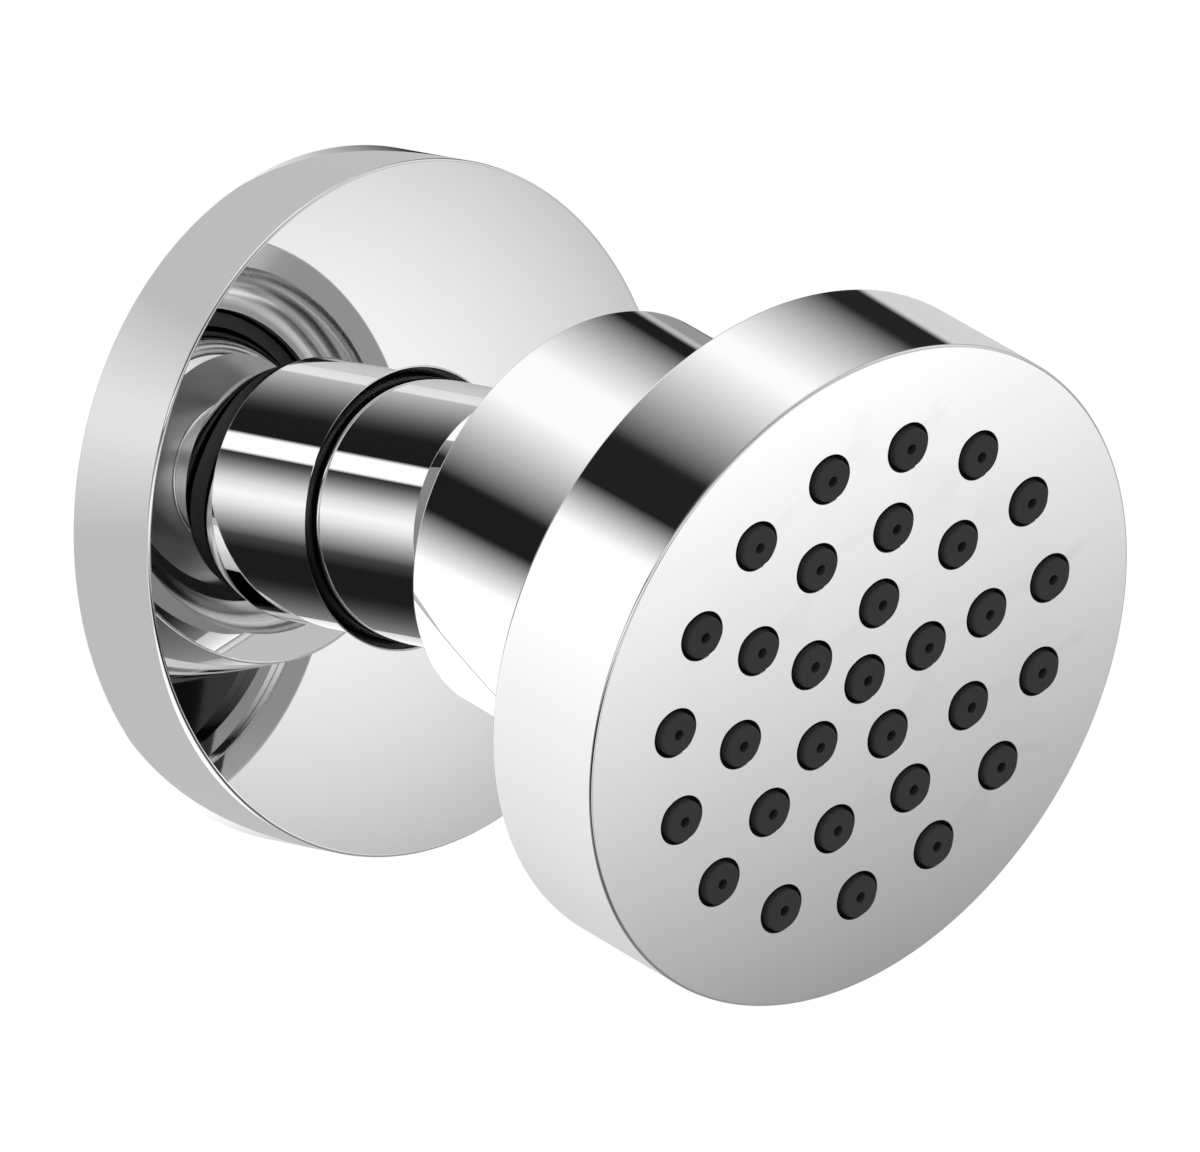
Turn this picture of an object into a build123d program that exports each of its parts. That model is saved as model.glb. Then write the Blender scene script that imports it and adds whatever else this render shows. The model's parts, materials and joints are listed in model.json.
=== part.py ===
"""Adjustable shower body jet: wall cover, inlet stem, ball joint and spray head.

Frame, in millimetres: the wall is the plane Y = 0 and the jet looks along -Y.
+Z is up. The origin lies on the stem axis, in the plane of the wall.
The head is drawn as photographed, turned straight down by head_tilt.
"""
import os
from math import cos, radians, sin, sqrt

from build123d import *

os.makedirs("parts", exist_ok=True)

# Escutcheon
escutcheon_d = 50.0
escutcheon_depth = 8.0
escutcheon_wall = 1.8
escutcheon_face_t = 1.4
escutcheon_hole_d = 20.1
edge_break = 0.2
boss_wall = 2.6
gasket_t = 1.6
gasket_w = 2.2
rabbet_depth = 0.8
grip_ring_d = 1.5
grip_lip = 0.5

# Inlet stem
stem_d = 19.0
collar_len = 10.6
taper_len = 4.37
taper_end_d = 16.2
hub_d = 27.0
hub_rear = 12.0
hub_front = 3.0
hub_flats = 24.6
thread_d = 20.0
thread_end = 0.5
washer_d = 18.0
washer_t = 1.4
washer_hole_d = 10.4
filter_bore_d = 13.2
screen_t = 0.6
regulator_len = 5.5
regulator_hole_d = 3.2
regulator_ring_d = 1.25
passage_d = 8.0

# Ball stem
pivot_ahead = 24.74
ball_d = 20.2
ball_flat_d = 17.24
ball_front_cut = 8.0
neck_d = 10.24
shank_d = 9.6
shank_len = 9.2
shank_ring_d = 0.9
shank_clip_d = 1.0
shank_clip_gap = 3.0
shank_clip_inset = 3.0
stem_bore_d = 5.6
stem_mouth_d = 8.4

# Ball joint and drum
head_tilt = 15.0
joint_gap = 0.25
liner_t = 0.95
liner_rear = 4.4
liner_front = 1.8
drum_d = 30.8
drum_rear = 7.63
drum_rim_w = 2.15
drum_bore_d = 24.8
lip_overlap = 0.75
bowl_depth = 2.5
cup_front = 9.2
cup_opening_d = 12.0
ball_seal_d = 1.6
ball_seal_angle = 48.0
spring_t = 0.5
spring_rise = 0.7

# Head
head_d = 50.0
head_rear = 12.12
head_t = 10.45
head_rim_w = 1.95
face_t = 1.5
face_rise = 0.35
plate_set_back = 1.97
plate_ledge = 0.8
plate_t = 2.2
boss_bore_d = 13.0
plate_ring_d = 1.2
drum_ring_d = 1.2
snap_t = 1.1
snap_w = 2.0
snap_gap = 6.0
outer_ring_inset = 7.49
ring_step_share = 0.3278
ring_counts = (5, 10, 15)
ring_start = 0.0
nozzle_d = 3.14
nozzle_gap = 0.28
nozzle_tip = 0.41
nozzle_chamfer = 0.12
orifice_d = 0.8
mat_t = 1.2
mat_margin = 0.1
spray_plate_t = 1.4
spray_hole_d = 1.6
screw_circle_margin = 1.55
post_d = 3.0
screw_d = 1.4
screw_head_d = 2.3
screw_head_h = 1.1
screw_count = 4

# Clearances
slip = 0.05
running_fit = 0.05
thread_slip = 0.05
loose = 0.1

# Axial places on the stem, measured forward from the wall
pivot_s = escutcheon_depth + pivot_ahead
collar_end = escutcheon_depth + collar_len
ball_r = ball_d / 2
ball_flat = sqrt(ball_r**2 - (ball_flat_d / 2) ** 2)
shoulder_s = pivot_s - ball_flat
taper_end = collar_end + taper_len
shank_rear = taper_end - shank_len
shank_clip_s = taper_end - shank_clip_inset
washer_seat = thread_end + washer_t
filter_end = washer_seat + screen_t + regulator_len

# Places along the head axis, measured forward from the ball centre
liner_r_in = ball_r + joint_gap
liner_r_out = liner_r_in + liner_t
seat_r = liner_r_out + joint_gap
lip_r = seat_r - lip_overlap - joint_gap
plate_rear = head_rear + plate_set_back
plate_front = plate_rear + plate_t
face_front = head_rear + head_t
face_rear = face_front - face_t
mat_rear = face_rear - mat_t
spray_front = mat_rear - slip
spray_rear = spray_front - spray_plate_t
shell_r_in = head_d / 2 - head_rim_w
chamber_r = shell_r_in - plate_ledge
outer_ring_r = head_d / 2 - outer_ring_inset
ring_step = ring_step_share * outer_ring_r
ring_radii = (ring_step, 2 * ring_step, outer_ring_r)
mat_r = ring_radii[-1] + nozzle_d / 2 + nozzle_gap + mat_margin
face_r = head_d / 2 - edge_break
screw_r = mat_r + screw_circle_margin

# Axes and drawing planes; in a drawing plane X is the radius and Y runs forward
tilt = radians(head_tilt)
pivot = (0, -pivot_s, 0)
head_dir = (0, -cos(tilt), -sin(tilt))
stem_axis = Axis((0, 0, 0), (0, -1, 0))
head_axis = Axis(pivot, head_dir)
stem_section = Plane(origin=(0, 0, 0), x_dir=(1, 0, 0), z_dir=(0, 0, -1))
head_section = Plane(origin=pivot, x_dir=(1, 0, 0), z_dir=(0, sin(tilt), -cos(tilt)))


def stem_plane(forward):
    """Plane across the stem at a distance forward of the wall."""
    return Plane(origin=(0, -forward, 0), x_dir=(1, 0, 0), z_dir=(0, -1, 0))


def head_plane(forward):
    """Plane across the head at a distance forward of the ball centre."""
    origin = (0, -pivot_s + forward * head_dir[1], forward * head_dir[2])
    return Plane(origin=origin, x_dir=(1, 0, 0), z_dir=head_dir)


def turned(section, axis, points, mode=Mode.ADD):
    """Revolve a closed outline of (radius, forward) points."""
    with BuildSketch(section) as outline:
        with BuildLine():
            Polyline(*points, close=True)
        make_face()
    revolve(outline.sketch, axis=axis, mode=mode)


def on_stem(points, mode=Mode.ADD):
    """Turn an outline about the stem axis."""
    turned(stem_section, stem_axis, points, mode)


def on_head(points, mode=Mode.ADD):
    """Turn an outline about the head axis."""
    turned(head_section, head_axis, points, mode)


def band(r_in, r_out, start, end):
    """Outline of a plain ring."""
    return [(r_in, start), (r_out, start), (r_out, end), (r_in, end)]


def o_ring(plane, inner_r, section_d):
    """Round ring that lies on a cylinder of radius inner_r."""
    with Locations(plane.location):
        Torus(inner_r + section_d / 2, section_d / 2)


def face_height(radius):
    """Height of the domed face above its edge, at a distance from the head axis."""
    dome_r = (face_r**2 + face_rise**2) / (2 * face_rise)
    return sqrt(dome_r**2 - radius**2) - dome_r + face_rise


def nozzle_rings():
    """Radius of each ring of nozzles, with the centres on it."""
    rings = [(0.0, [(0.0, 0.0)])]
    for radius, count in zip(ring_radii, ring_counts):
        places = []
        for index in range(count):
            angle = radians(ring_start + 360.0 * index / count)
            places.append((radius * sin(angle), radius * cos(angle)))
        rings.append((radius, places))
    return rings


def nozzle_places():
    """Centres of all nozzles, seen along the head axis."""
    return [place for _, places in nozzle_rings() for place in places]


def screw_places():
    """Centres of the spray plate screws."""
    places = []
    for index in range(screw_count):
        angle = radians(45.0 + 360.0 * index / screw_count)
        places.append((screw_r * cos(angle), screw_r * sin(angle)))
    return places


# Escutcheon: hollow cover with an inner boss for the grip ring
cover_r = escutcheon_d / 2
hole_r = escutcheon_hole_d / 2
boss_rear = hub_front + 0.6
face_back = escutcheon_depth - escutcheon_face_t
grip_half = grip_ring_d / 2 + 0.15
grip_mid = escutcheon_depth - grip_lip - grip_half
grip_bottom = stem_d / 2 + grip_ring_d + 0.02
with BuildPart() as escutcheon:
    on_stem([
        (0, 0),
        (cover_r, 0),
        (cover_r, escutcheon_depth - edge_break),
        (cover_r - edge_break, escutcheon_depth),
        (0, escutcheon_depth),
    ])
    on_stem(band(0, cover_r - escutcheon_wall, -1, face_back), Mode.SUBTRACT)
    rabbet_r = cover_r - escutcheon_wall + rabbet_depth
    on_stem(band(0, rabbet_r, -1, gasket_t), Mode.SUBTRACT)
    on_stem(band(0, hole_r + boss_wall, boss_rear, face_back))
    on_stem(band(0, hole_r, -1, escutcheon_depth + 1), Mode.SUBTRACT)
    on_stem([
        (0, escutcheon_depth - edge_break),
        (hole_r, escutcheon_depth - edge_break),
        (hole_r + edge_break + 0.1, escutcheon_depth + 0.1),
        (0, escutcheon_depth + 0.1),
    ], Mode.SUBTRACT)
    on_stem(band(hole_r - 1, grip_bottom, grip_mid - grip_half, grip_mid + grip_half), Mode.SUBTRACT)
escutcheon.part.label = "escutcheon"
export_step(escutcheon.part, "parts/escutcheon.step")

with BuildPart() as wall_gasket:
    gasket_r = cover_r - escutcheon_wall + rabbet_depth - 0.02
    on_stem(band(gasket_r - gasket_w, gasket_r, 0, gasket_t - 0.02))
wall_gasket.part.label = "wall_gasket"
export_step(wall_gasket.part, "parts/wall_gasket.step")

with BuildPart() as escutcheon_grip_ring:
    o_ring(stem_plane(grip_mid), stem_d / 2 + 0.01, grip_ring_d)
escutcheon_grip_ring.part.label = "escutcheon_grip_ring"
export_step(escutcheon_grip_ring.part, "parts/escutcheon_grip_ring.step")

# Inlet stem: threaded hub behind the cover, plain collar and tapered front
stem_r = stem_d / 2
shank_r = shank_d / 2
shank_bore_r = shank_r + running_fit
clip_r = shank_r + running_fit / 2
clip_half = shank_clip_d / 2
clip_room = clip_half + loose
with BuildPart() as inlet_stem:
    on_stem([
        (0, -hub_rear),
        (hub_d / 2 - 0.5, -hub_rear),
        (hub_d / 2, -hub_rear + 0.5),
        (hub_d / 2, hub_front - 0.4),
        (hub_d / 2 - 0.4, hub_front),
        (stem_r, hub_front),
        (stem_r, collar_end),
        (taper_end_d / 2, taper_end),
        (0, taper_end),
    ])
    on_stem(band(0, thread_d / 2, -hub_rear - 1, thread_end), Mode.SUBTRACT)
    on_stem([
        (0, -hub_rear - 1),
        (thread_d / 2 + 1.8, -hub_rear - 1),
        (thread_d / 2, -hub_rear + 0.8),
        (0, -hub_rear + 0.8),
    ], Mode.SUBTRACT)
    on_stem(band(0, washer_d / 2, thread_end, washer_seat), Mode.SUBTRACT)
    on_stem(band(0, filter_bore_d / 2, washer_seat, filter_end), Mode.SUBTRACT)
    on_stem(band(0, passage_d / 2, filter_end, shank_rear), Mode.SUBTRACT)
    on_stem(band(0, shank_bore_r, shank_rear - slip, taper_end + 1), Mode.SUBTRACT)
    on_stem(
        band(0, clip_r + clip_half + slip, shank_clip_s - clip_room, shank_clip_s + clip_room),
        Mode.SUBTRACT,
    )
    with BuildSketch(stem_plane(-hub_rear)):
        for side in (-1, 1):
            with Locations((side * (hub_flats / 2 + 5), 0)):
                Rectangle(10, hub_d + 2)
    extrude(amount=hub_rear - 3, mode=Mode.SUBTRACT)
inlet_stem.part.label = "inlet_stem"
export_step(inlet_stem.part, "parts/inlet_stem.step")

with BuildPart() as inlet_washer:
    on_stem(band(washer_hole_d / 2, washer_d / 2 - slip, thread_end, washer_seat - 0.02))
inlet_washer.part.label = "inlet_washer"
export_step(inlet_washer.part, "parts/inlet_washer.step")

# Strainer: thin rimmed disc with a grid of square holes
screen_r = filter_bore_d / 2 - slip
with BuildPart() as filter_screen:
    on_stem(band(0, screen_r, washer_seat, washer_seat + screen_t - 0.02))
    with BuildSketch(stem_plane(washer_seat - 1)):
        with GridLocations(2.0, 2.0, 3, 3):
            Rectangle(1.4, 1.4)
    extrude(amount=screen_t + 2, mode=Mode.SUBTRACT)
filter_screen.part.label = "filter_screen"
export_step(filter_screen.part, "parts/filter_screen.step")

# Flow regulator with a ring groove halfway
regulator_s = washer_seat + screen_t
regulator_mid = regulator_s + regulator_len / 2
regulator_groove = filter_bore_d / 2 - 0.04 - regulator_ring_d
with BuildPart() as flow_regulator:
    on_stem(band(regulator_hole_d / 2, screen_r, regulator_s, filter_end - 0.02))
    on_stem([
        (0, regulator_s - 0.1),
        (screen_r - 1.6, regulator_s - 0.1),
        (regulator_hole_d / 2, regulator_s + 1.8),
        (0, regulator_s + 1.8),
    ], Mode.SUBTRACT)
    groove_half = regulator_ring_d / 2 + 0.15
    on_stem(
        band(regulator_groove, screen_r + 1, regulator_mid - groove_half, regulator_mid + groove_half),
        Mode.SUBTRACT,
    )
flow_regulator.part.label = "flow_regulator"
export_step(flow_regulator.part, "parts/flow_regulator.step")

with BuildPart() as flow_regulator_o_ring:
    o_ring(stem_plane(regulator_mid), regulator_groove + 0.01, regulator_ring_d)
flow_regulator_o_ring.part.label = "flow_regulator_o_ring"
export_step(flow_regulator_o_ring.part, "parts/flow_regulator_o_ring.step")

# Ball stem: truncated ball, neck and a shank that turns in the inlet stem
shank_ring_s = shank_rear + 1.6
shank_groove = shank_r - shank_ring_d - 0.01
with BuildPart() as ball_stem:
    with Locations(pivot):
        Sphere(ball_r)
    on_stem(band(0, ball_r + 1, shoulder_s - ball_r, shoulder_s), Mode.SUBTRACT)
    on_stem(band(0, ball_r + 1, pivot_s + ball_front_cut, pivot_s + ball_r + 1), Mode.SUBTRACT)
    on_stem([
        (0, shank_rear),
        (shank_r - 0.3, shank_rear),
        (shank_r, shank_rear + 0.3),
        (shank_r, taper_end),
        (neck_d / 2, taper_end + 0.02),
        (neck_d / 2, shoulder_s + 1),
        (0, shoulder_s + 1),
    ])
    on_stem(band(0, stem_bore_d / 2, shank_rear - 1, pivot_s + ball_r), Mode.SUBTRACT)
    shank_half = shank_ring_d / 2 + 0.1
    on_stem(
        band(shank_groove, shank_r + 1, shank_ring_s - shank_half, shank_ring_s + shank_half),
        Mode.SUBTRACT,
    )
    on_stem(
        band(clip_r - clip_half - slip, shank_r + 1, shank_clip_s - clip_room, shank_clip_s + clip_room),
        Mode.SUBTRACT,
    )
    mouth_s = pivot_s + ball_front_cut
    mouth_depth = (stem_mouth_d - stem_bore_d) / 2
    on_stem([
        (0, mouth_s - mouth_depth),
        (stem_bore_d / 2, mouth_s - mouth_depth),
        (stem_mouth_d / 2, mouth_s),
        (stem_mouth_d / 2, mouth_s + 1),
        (0, mouth_s + 1),
    ], Mode.SUBTRACT)
ball_stem.part.label = "ball_stem"
export_step(ball_stem.part, "parts/ball_stem.step")

with BuildPart() as ball_stem_o_ring:
    o_ring(stem_plane(shank_ring_s), shank_groove + 0.01, shank_ring_d)
ball_stem_o_ring.part.label = "ball_stem_o_ring"
export_step(ball_stem_o_ring.part, "parts/ball_stem_o_ring.step")

# Open wire ring, half in the stem and half in the shank, that keeps the ball stem in
with BuildPart() as ball_stem_clip:
    o_ring(stem_plane(shank_clip_s), clip_r - clip_half, shank_clip_d)
    with BuildSketch(stem_plane(shank_clip_s - shank_clip_d)):
        with Locations((0, -clip_r)):
            Rectangle(shank_clip_gap, 3 * shank_clip_d)
    extrude(amount=2 * shank_clip_d, mode=Mode.SUBTRACT)
ball_stem_clip.part.label = "ball_stem_clip"
export_step(ball_stem_clip.part, "parts/ball_stem_clip.step")

# Rear seat: thin spherical liner between the ball and the drum
with BuildPart() as rear_ball_seat:
    with Locations(head_section.location):
        Sphere(liner_r_out)
        Sphere(liner_r_in, mode=Mode.SUBTRACT)
    on_head(band(0, liner_r_out + 1, -liner_r_out - 1, -liner_rear), Mode.SUBTRACT)
    on_head(band(0, liner_r_out + 1, liner_front, liner_r_out + 1), Mode.SUBTRACT)
rear_ball_seat.part.label = "rear_ball_seat"
export_step(rear_ball_seat.part, "parts/rear_ball_seat.step")

# Drum: spherical seat inside, bowl-shaped hollow behind, threaded bore in front
drum_r = drum_d / 2
rim_r = drum_r - drum_rim_w
drum_front = plate_rear - slip
bowl_r = min(bowl_depth, rim_r - lip_r - 0.15)
bowl_s = -drum_rear + bowl_depth - bowl_r
with BuildPart() as swivel_nut:
    on_head([
        (0, -drum_rear),
        (drum_r - edge_break, -drum_rear),
        (drum_r, -drum_rear + edge_break),
        (drum_r, drum_front),
        (0, drum_front),
    ])
    with Locations(head_section.location):
        Sphere(seat_r, mode=Mode.SUBTRACT)
    on_head(band(0, seat_r, 0, liner_front + 0.15), Mode.SUBTRACT)
    on_head(band(0, drum_bore_d / 2, liner_front + 0.15, drum_front + 1), Mode.SUBTRACT)
    with BuildSketch(head_section) as bowl:
        with BuildLine():
            Polyline(
                (rim_r - bowl_r, bowl_s + bowl_r),
                (0, bowl_s + bowl_r),
                (0, -drum_rear - 1),
                (rim_r + 1 + 0.25, -drum_rear - 1),
                (rim_r, -drum_rear + 0.25),
                (rim_r, max(bowl_s, -drum_rear + 0.26)),
            )
            ThreePointArc(
                (rim_r, max(bowl_s, -drum_rear + 0.26)),
                (rim_r - bowl_r * (1 - sqrt(0.5)), bowl_s + bowl_r * sqrt(0.5)),
                (rim_r - bowl_r, bowl_s + bowl_r),
            )
        make_face()
    revolve(bowl.sketch, axis=head_axis, mode=Mode.SUBTRACT)
    on_head(band(0, lip_r, -drum_rear - 1, 0), Mode.SUBTRACT)
swivel_nut.part.label = "swivel_nut"
export_step(swivel_nut.part, "parts/swivel_nut.step")

# Front seat: cup on the ball, with a seal in its face
cup_r = drum_bore_d / 2 - loose
seal_reach = ball_r + ball_seal_d / 2 + 0.04
seal_r = seal_reach * sin(radians(ball_seal_angle))
seal_s = seal_reach * cos(radians(ball_seal_angle))
with BuildPart() as front_ball_seat:
    on_head(band(cup_opening_d / 2, cup_r, liner_front + 0.2, cup_front))
    with Locations(head_section.location):
        Sphere(ball_r + joint_gap, mode=Mode.SUBTRACT)
    with Locations(head_plane(seal_s).location):
        Torus(seal_r, ball_seal_d / 2 + 0.03, mode=Mode.SUBTRACT)
front_ball_seat.part.label = "front_ball_seat"
export_step(front_ball_seat.part, "parts/front_ball_seat.step")

with BuildPart() as ball_seal:
    o_ring(head_plane(seal_s), seal_r - ball_seal_d / 2, ball_seal_d)
ball_seal.part.label = "ball_seal"
export_step(ball_seal.part, "parts/ball_seal.step")

# Preload spring: coned washer between the cup and the boss of the rear plate
spring_s = cup_front + 0.02
boss_rear_s = spring_s + spring_rise + spring_t + 0.02
spring_in = boss_bore_d / 2 + 1.6
spring_out = cup_r - 0.2
with BuildPart() as preload_spring:
    on_head([
        (spring_out, spring_s),
        (spring_out, spring_s + spring_t),
        (spring_in, spring_s + spring_rise + spring_t),
        (spring_in, spring_s + spring_rise),
    ])
preload_spring.part.label = "preload_spring"
export_step(preload_spring.part, "parts/preload_spring.step")

# Rear plate of the head, with a threaded boss that closes the drum
boss_r = drum_bore_d / 2 - thread_slip
drum_groove = boss_r - drum_ring_d
drum_ring_s = plate_rear - 1.25
plate_r = shell_r_in - loose
plate_mid = (plate_rear + plate_front) / 2
plate_groove = plate_r - plate_ring_d
with BuildPart() as head_back:
    on_head(band(boss_bore_d / 2, plate_r, plate_rear, plate_front))
    on_head(band(boss_bore_d / 2, boss_r, boss_rear_s, plate_rear))
    on_head([
        (0, plate_front - 1.6),
        (boss_bore_d / 2, plate_front - 1.6),
        (boss_bore_d / 2 + 3.2, plate_front + 0.1),
        (0, plate_front + 0.1),
    ], Mode.SUBTRACT)
    drum_ring_half = drum_ring_d / 2 + 0.1
    on_head(
        band(drum_groove, boss_r + 1, drum_ring_s - drum_ring_half, drum_ring_s + drum_ring_half),
        Mode.SUBTRACT,
    )
    plate_half = plate_ring_d / 2 + 0.05
    on_head(
        band(plate_groove, plate_r + 1, plate_mid - plate_half, plate_mid + plate_half),
        Mode.SUBTRACT,
    )
head_back.part.label = "head_back"
export_step(head_back.part, "parts/head_back.step")

with BuildPart() as swivel_nut_o_ring:
    o_ring(head_plane(drum_ring_s), drum_groove + 0.01, drum_ring_d)
swivel_nut_o_ring.part.label = "swivel_nut_o_ring"
export_step(swivel_nut_o_ring.part, "parts/swivel_nut_o_ring.step")

with BuildPart() as head_o_ring:
    o_ring(head_plane(plate_mid), plate_groove + 0.04, plate_ring_d)
head_o_ring.part.label = "head_o_ring"
export_step(head_o_ring.part, "parts/head_o_ring.step")

# Open ring that holds the rear plate in the shell
snap_front = plate_rear - 0.02
snap_r = shell_r_in + 0.65
with BuildPart() as head_retaining_ring:
    on_head(band(snap_r - snap_w, snap_r, snap_front - snap_t, snap_front))
    with BuildSketch(head_plane(snap_front - snap_t - 1)):
        with Locations((0, snap_r)):
            Rectangle(snap_gap, 3 * snap_w)
    extrude(amount=snap_t + 2, mode=Mode.SUBTRACT)
head_retaining_ring.part.label = "head_retaining_ring"
export_step(head_retaining_ring.part, "parts/head_retaining_ring.step")

# Head shell: straight rim, slightly domed and drilled face, posts for the spray plate
head_r = head_d / 2
with BuildPart() as head_shell:
    with BuildSketch(head_section):
        with BuildLine():
            Polyline(
                (0, face_front + face_rise),
                (0, head_rear),
                (head_r - edge_break, head_rear),
                (head_r, head_rear + edge_break),
                (head_r, face_front - edge_break),
                (face_r, face_front),
            )
            ThreePointArc(
                (face_r, face_front),
                (face_r / 2, face_front + face_height(face_r / 2)),
                (0, face_front + face_rise),
            )
        make_face()
    revolve(axis=head_axis)
    on_head(band(0, shell_r_in, head_rear - 1, plate_front + slip), Mode.SUBTRACT)
    on_head(band(0, chamber_r, plate_front, face_rear), Mode.SUBTRACT)
    on_head(
        band(shell_r_in - 1, snap_r + 0.05, snap_front - snap_t - 0.05, plate_rear + 0.03),
        Mode.SUBTRACT,
    )
    with BuildSketch(head_plane(mat_rear)):
        with Locations(*screw_places()):
            Circle(post_d / 2)
    extrude(amount=mat_t + 0.2)
    with BuildSketch(head_plane(mat_rear)):
        with Locations(*screw_places()):
            Circle(screw_d / 2 + slip)
    extrude(amount=mat_t + face_t - 0.6, mode=Mode.SUBTRACT)
    with BuildSketch(head_plane(face_rear - 0.1)):
        with Locations(*nozzle_places()):
            Circle(nozzle_d / 2 + nozzle_gap)
    extrude(amount=face_t + face_rise + 1, mode=Mode.SUBTRACT)
head_shell.part.label = "head_shell"
export_step(head_shell.part, "parts/head_shell.step")

# Nozzle moulding: base disc and chamfered nozzles with fine bores
with BuildPart() as nozzle_mat:
    on_head(band(0, mat_r, mat_rear, face_rear - 0.02))
    for ring_r, places in nozzle_rings():
        chamfer_s = face_front + face_height(ring_r) + nozzle_tip - nozzle_chamfer
        with BuildSketch(head_plane(face_rear - 0.1)):
            with Locations(*places):
                Circle(nozzle_d / 2)
        extrude(amount=chamfer_s - face_rear + 0.1)
        with Locations(head_plane(chamfer_s).location):
            with Locations(*places):
                Cone(
                    nozzle_d / 2,
                    nozzle_d / 2 - nozzle_chamfer,
                    nozzle_chamfer,
                    align=(Align.CENTER, Align.CENTER, Align.MIN),
                )
    with BuildSketch(head_plane(mat_rear - 0.5)):
        with Locations(*nozzle_places()):
            Circle(orifice_d / 2)
    extrude(amount=mat_t + face_t + face_rise + nozzle_tip + 1, mode=Mode.SUBTRACT)
nozzle_mat.part.label = "nozzle_mat"
export_step(nozzle_mat.part, "parts/nozzle_mat.step")

with BuildPart() as spray_plate:
    on_head(band(0, chamber_r - loose, spray_rear, spray_front))
    with BuildSketch(head_plane(spray_rear - 0.5)):
        with Locations(*nozzle_places()):
            Circle(spray_hole_d / 2)
        with Locations(*screw_places()):
            Circle(screw_d / 2 + loose)
    extrude(amount=spray_plate_t + 1, mode=Mode.SUBTRACT)
spray_plate.part.label = "spray_plate"
export_step(spray_plate.part, "parts/spray_plate.step")

with BuildPart() as spray_plate_screws:
    with BuildSketch(head_plane(spray_rear - screw_head_h)):
        with Locations(*screw_places()):
            Circle(screw_head_d / 2)
    extrude(amount=screw_head_h - 0.02)
    with BuildSketch(head_plane(spray_rear - 0.1)):
        with Locations(*screw_places()):
            Circle(screw_d / 2)
    extrude(amount=spray_plate_t + mat_t + face_t - 0.7)
    with BuildSketch(head_plane(spray_rear - screw_head_h)):
        with Locations(*screw_places()):
            RegularPolygon(0.75, 6)
    extrude(amount=0.6, mode=Mode.SUBTRACT)
spray_plate_screws.part.label = "spray_plate_screws"
export_step(spray_plate_screws.part, "parts/spray_plate_screws.step")
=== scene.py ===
"""Shower body jet, dressed for a white studio picture.

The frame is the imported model's own: metres, wall at Y = 0, the jet looking along -Y, +Z up.
Sizes of pieces are written in millimetres, as (distance from the axis, distance forward).
"""

import json
import logging
import math
from dataclasses import dataclass, field, replace
from enum import Enum
from typing import Callable, Optional

import bmesh
import bpy
from mathutils import Matrix, Vector


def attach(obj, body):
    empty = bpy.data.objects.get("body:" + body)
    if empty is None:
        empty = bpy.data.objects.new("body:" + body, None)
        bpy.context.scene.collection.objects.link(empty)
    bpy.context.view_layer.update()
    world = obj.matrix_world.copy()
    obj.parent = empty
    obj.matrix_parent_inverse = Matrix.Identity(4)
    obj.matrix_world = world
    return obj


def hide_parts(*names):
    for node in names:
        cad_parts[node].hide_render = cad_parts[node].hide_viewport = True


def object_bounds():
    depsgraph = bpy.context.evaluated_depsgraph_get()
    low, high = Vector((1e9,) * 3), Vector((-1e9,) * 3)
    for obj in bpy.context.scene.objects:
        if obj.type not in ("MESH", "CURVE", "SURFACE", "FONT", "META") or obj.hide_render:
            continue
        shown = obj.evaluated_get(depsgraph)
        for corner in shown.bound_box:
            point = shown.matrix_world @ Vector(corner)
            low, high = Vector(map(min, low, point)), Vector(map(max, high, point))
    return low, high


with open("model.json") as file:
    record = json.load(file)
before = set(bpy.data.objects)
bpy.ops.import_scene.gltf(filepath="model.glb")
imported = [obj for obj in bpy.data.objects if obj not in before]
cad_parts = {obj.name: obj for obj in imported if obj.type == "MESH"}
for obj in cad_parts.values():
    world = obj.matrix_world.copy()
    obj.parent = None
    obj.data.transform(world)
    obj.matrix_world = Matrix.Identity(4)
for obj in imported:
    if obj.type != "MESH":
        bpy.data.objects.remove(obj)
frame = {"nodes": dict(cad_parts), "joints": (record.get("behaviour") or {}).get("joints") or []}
CAD_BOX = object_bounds()

LOG = logging.getLogger("body_jet")
MM = 0.001

# Steps of roundings and arcs, and of full turns of large pieces, small ones and cards
ROUND_STEPS = 5
ARC_STEP = math.radians(3)
MIN_ARC_STEPS = 4
FINE_TURN = 320
SMALL_TURN = 40
CARD_TURN = 96

# How near two points count as one, steps a metre that corners snap to, how near a face lies in a plane
SAME_POINT = 1e-7
WELD_STEPS = 1e7
IN_PLANE = 0.01

# A surface that faces away from the axis by more than this share counts as an outer one
OUTER_SHARE = 0.5


class Body(Enum):
    """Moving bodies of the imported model."""

    BASE = "base"
    SWIVEL = "swivel"
    HEAD = "head"


class Slot(Enum):
    """The record's material slots, named for each rebuilt piece; the script does not use them."""

    CHROME = "chrome_plate"
    SILICONE = "black_silicone"
    RUBBER = "black_rubber"


# Turned outlines and meshes


@dataclass(frozen=True)
class Station:
    """One point of an outline, with the direction that its surface faces."""

    radius: float
    forward: float
    facing: tuple[float, float]


@dataclass(frozen=True)
class Knot:
    """One corner of an outline, or the end of an arc when it has a centre."""

    radius: float
    forward: float
    blend: float = 0.0
    centre: Optional[tuple[float, float]] = None
    flats: Optional[float] = None


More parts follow.
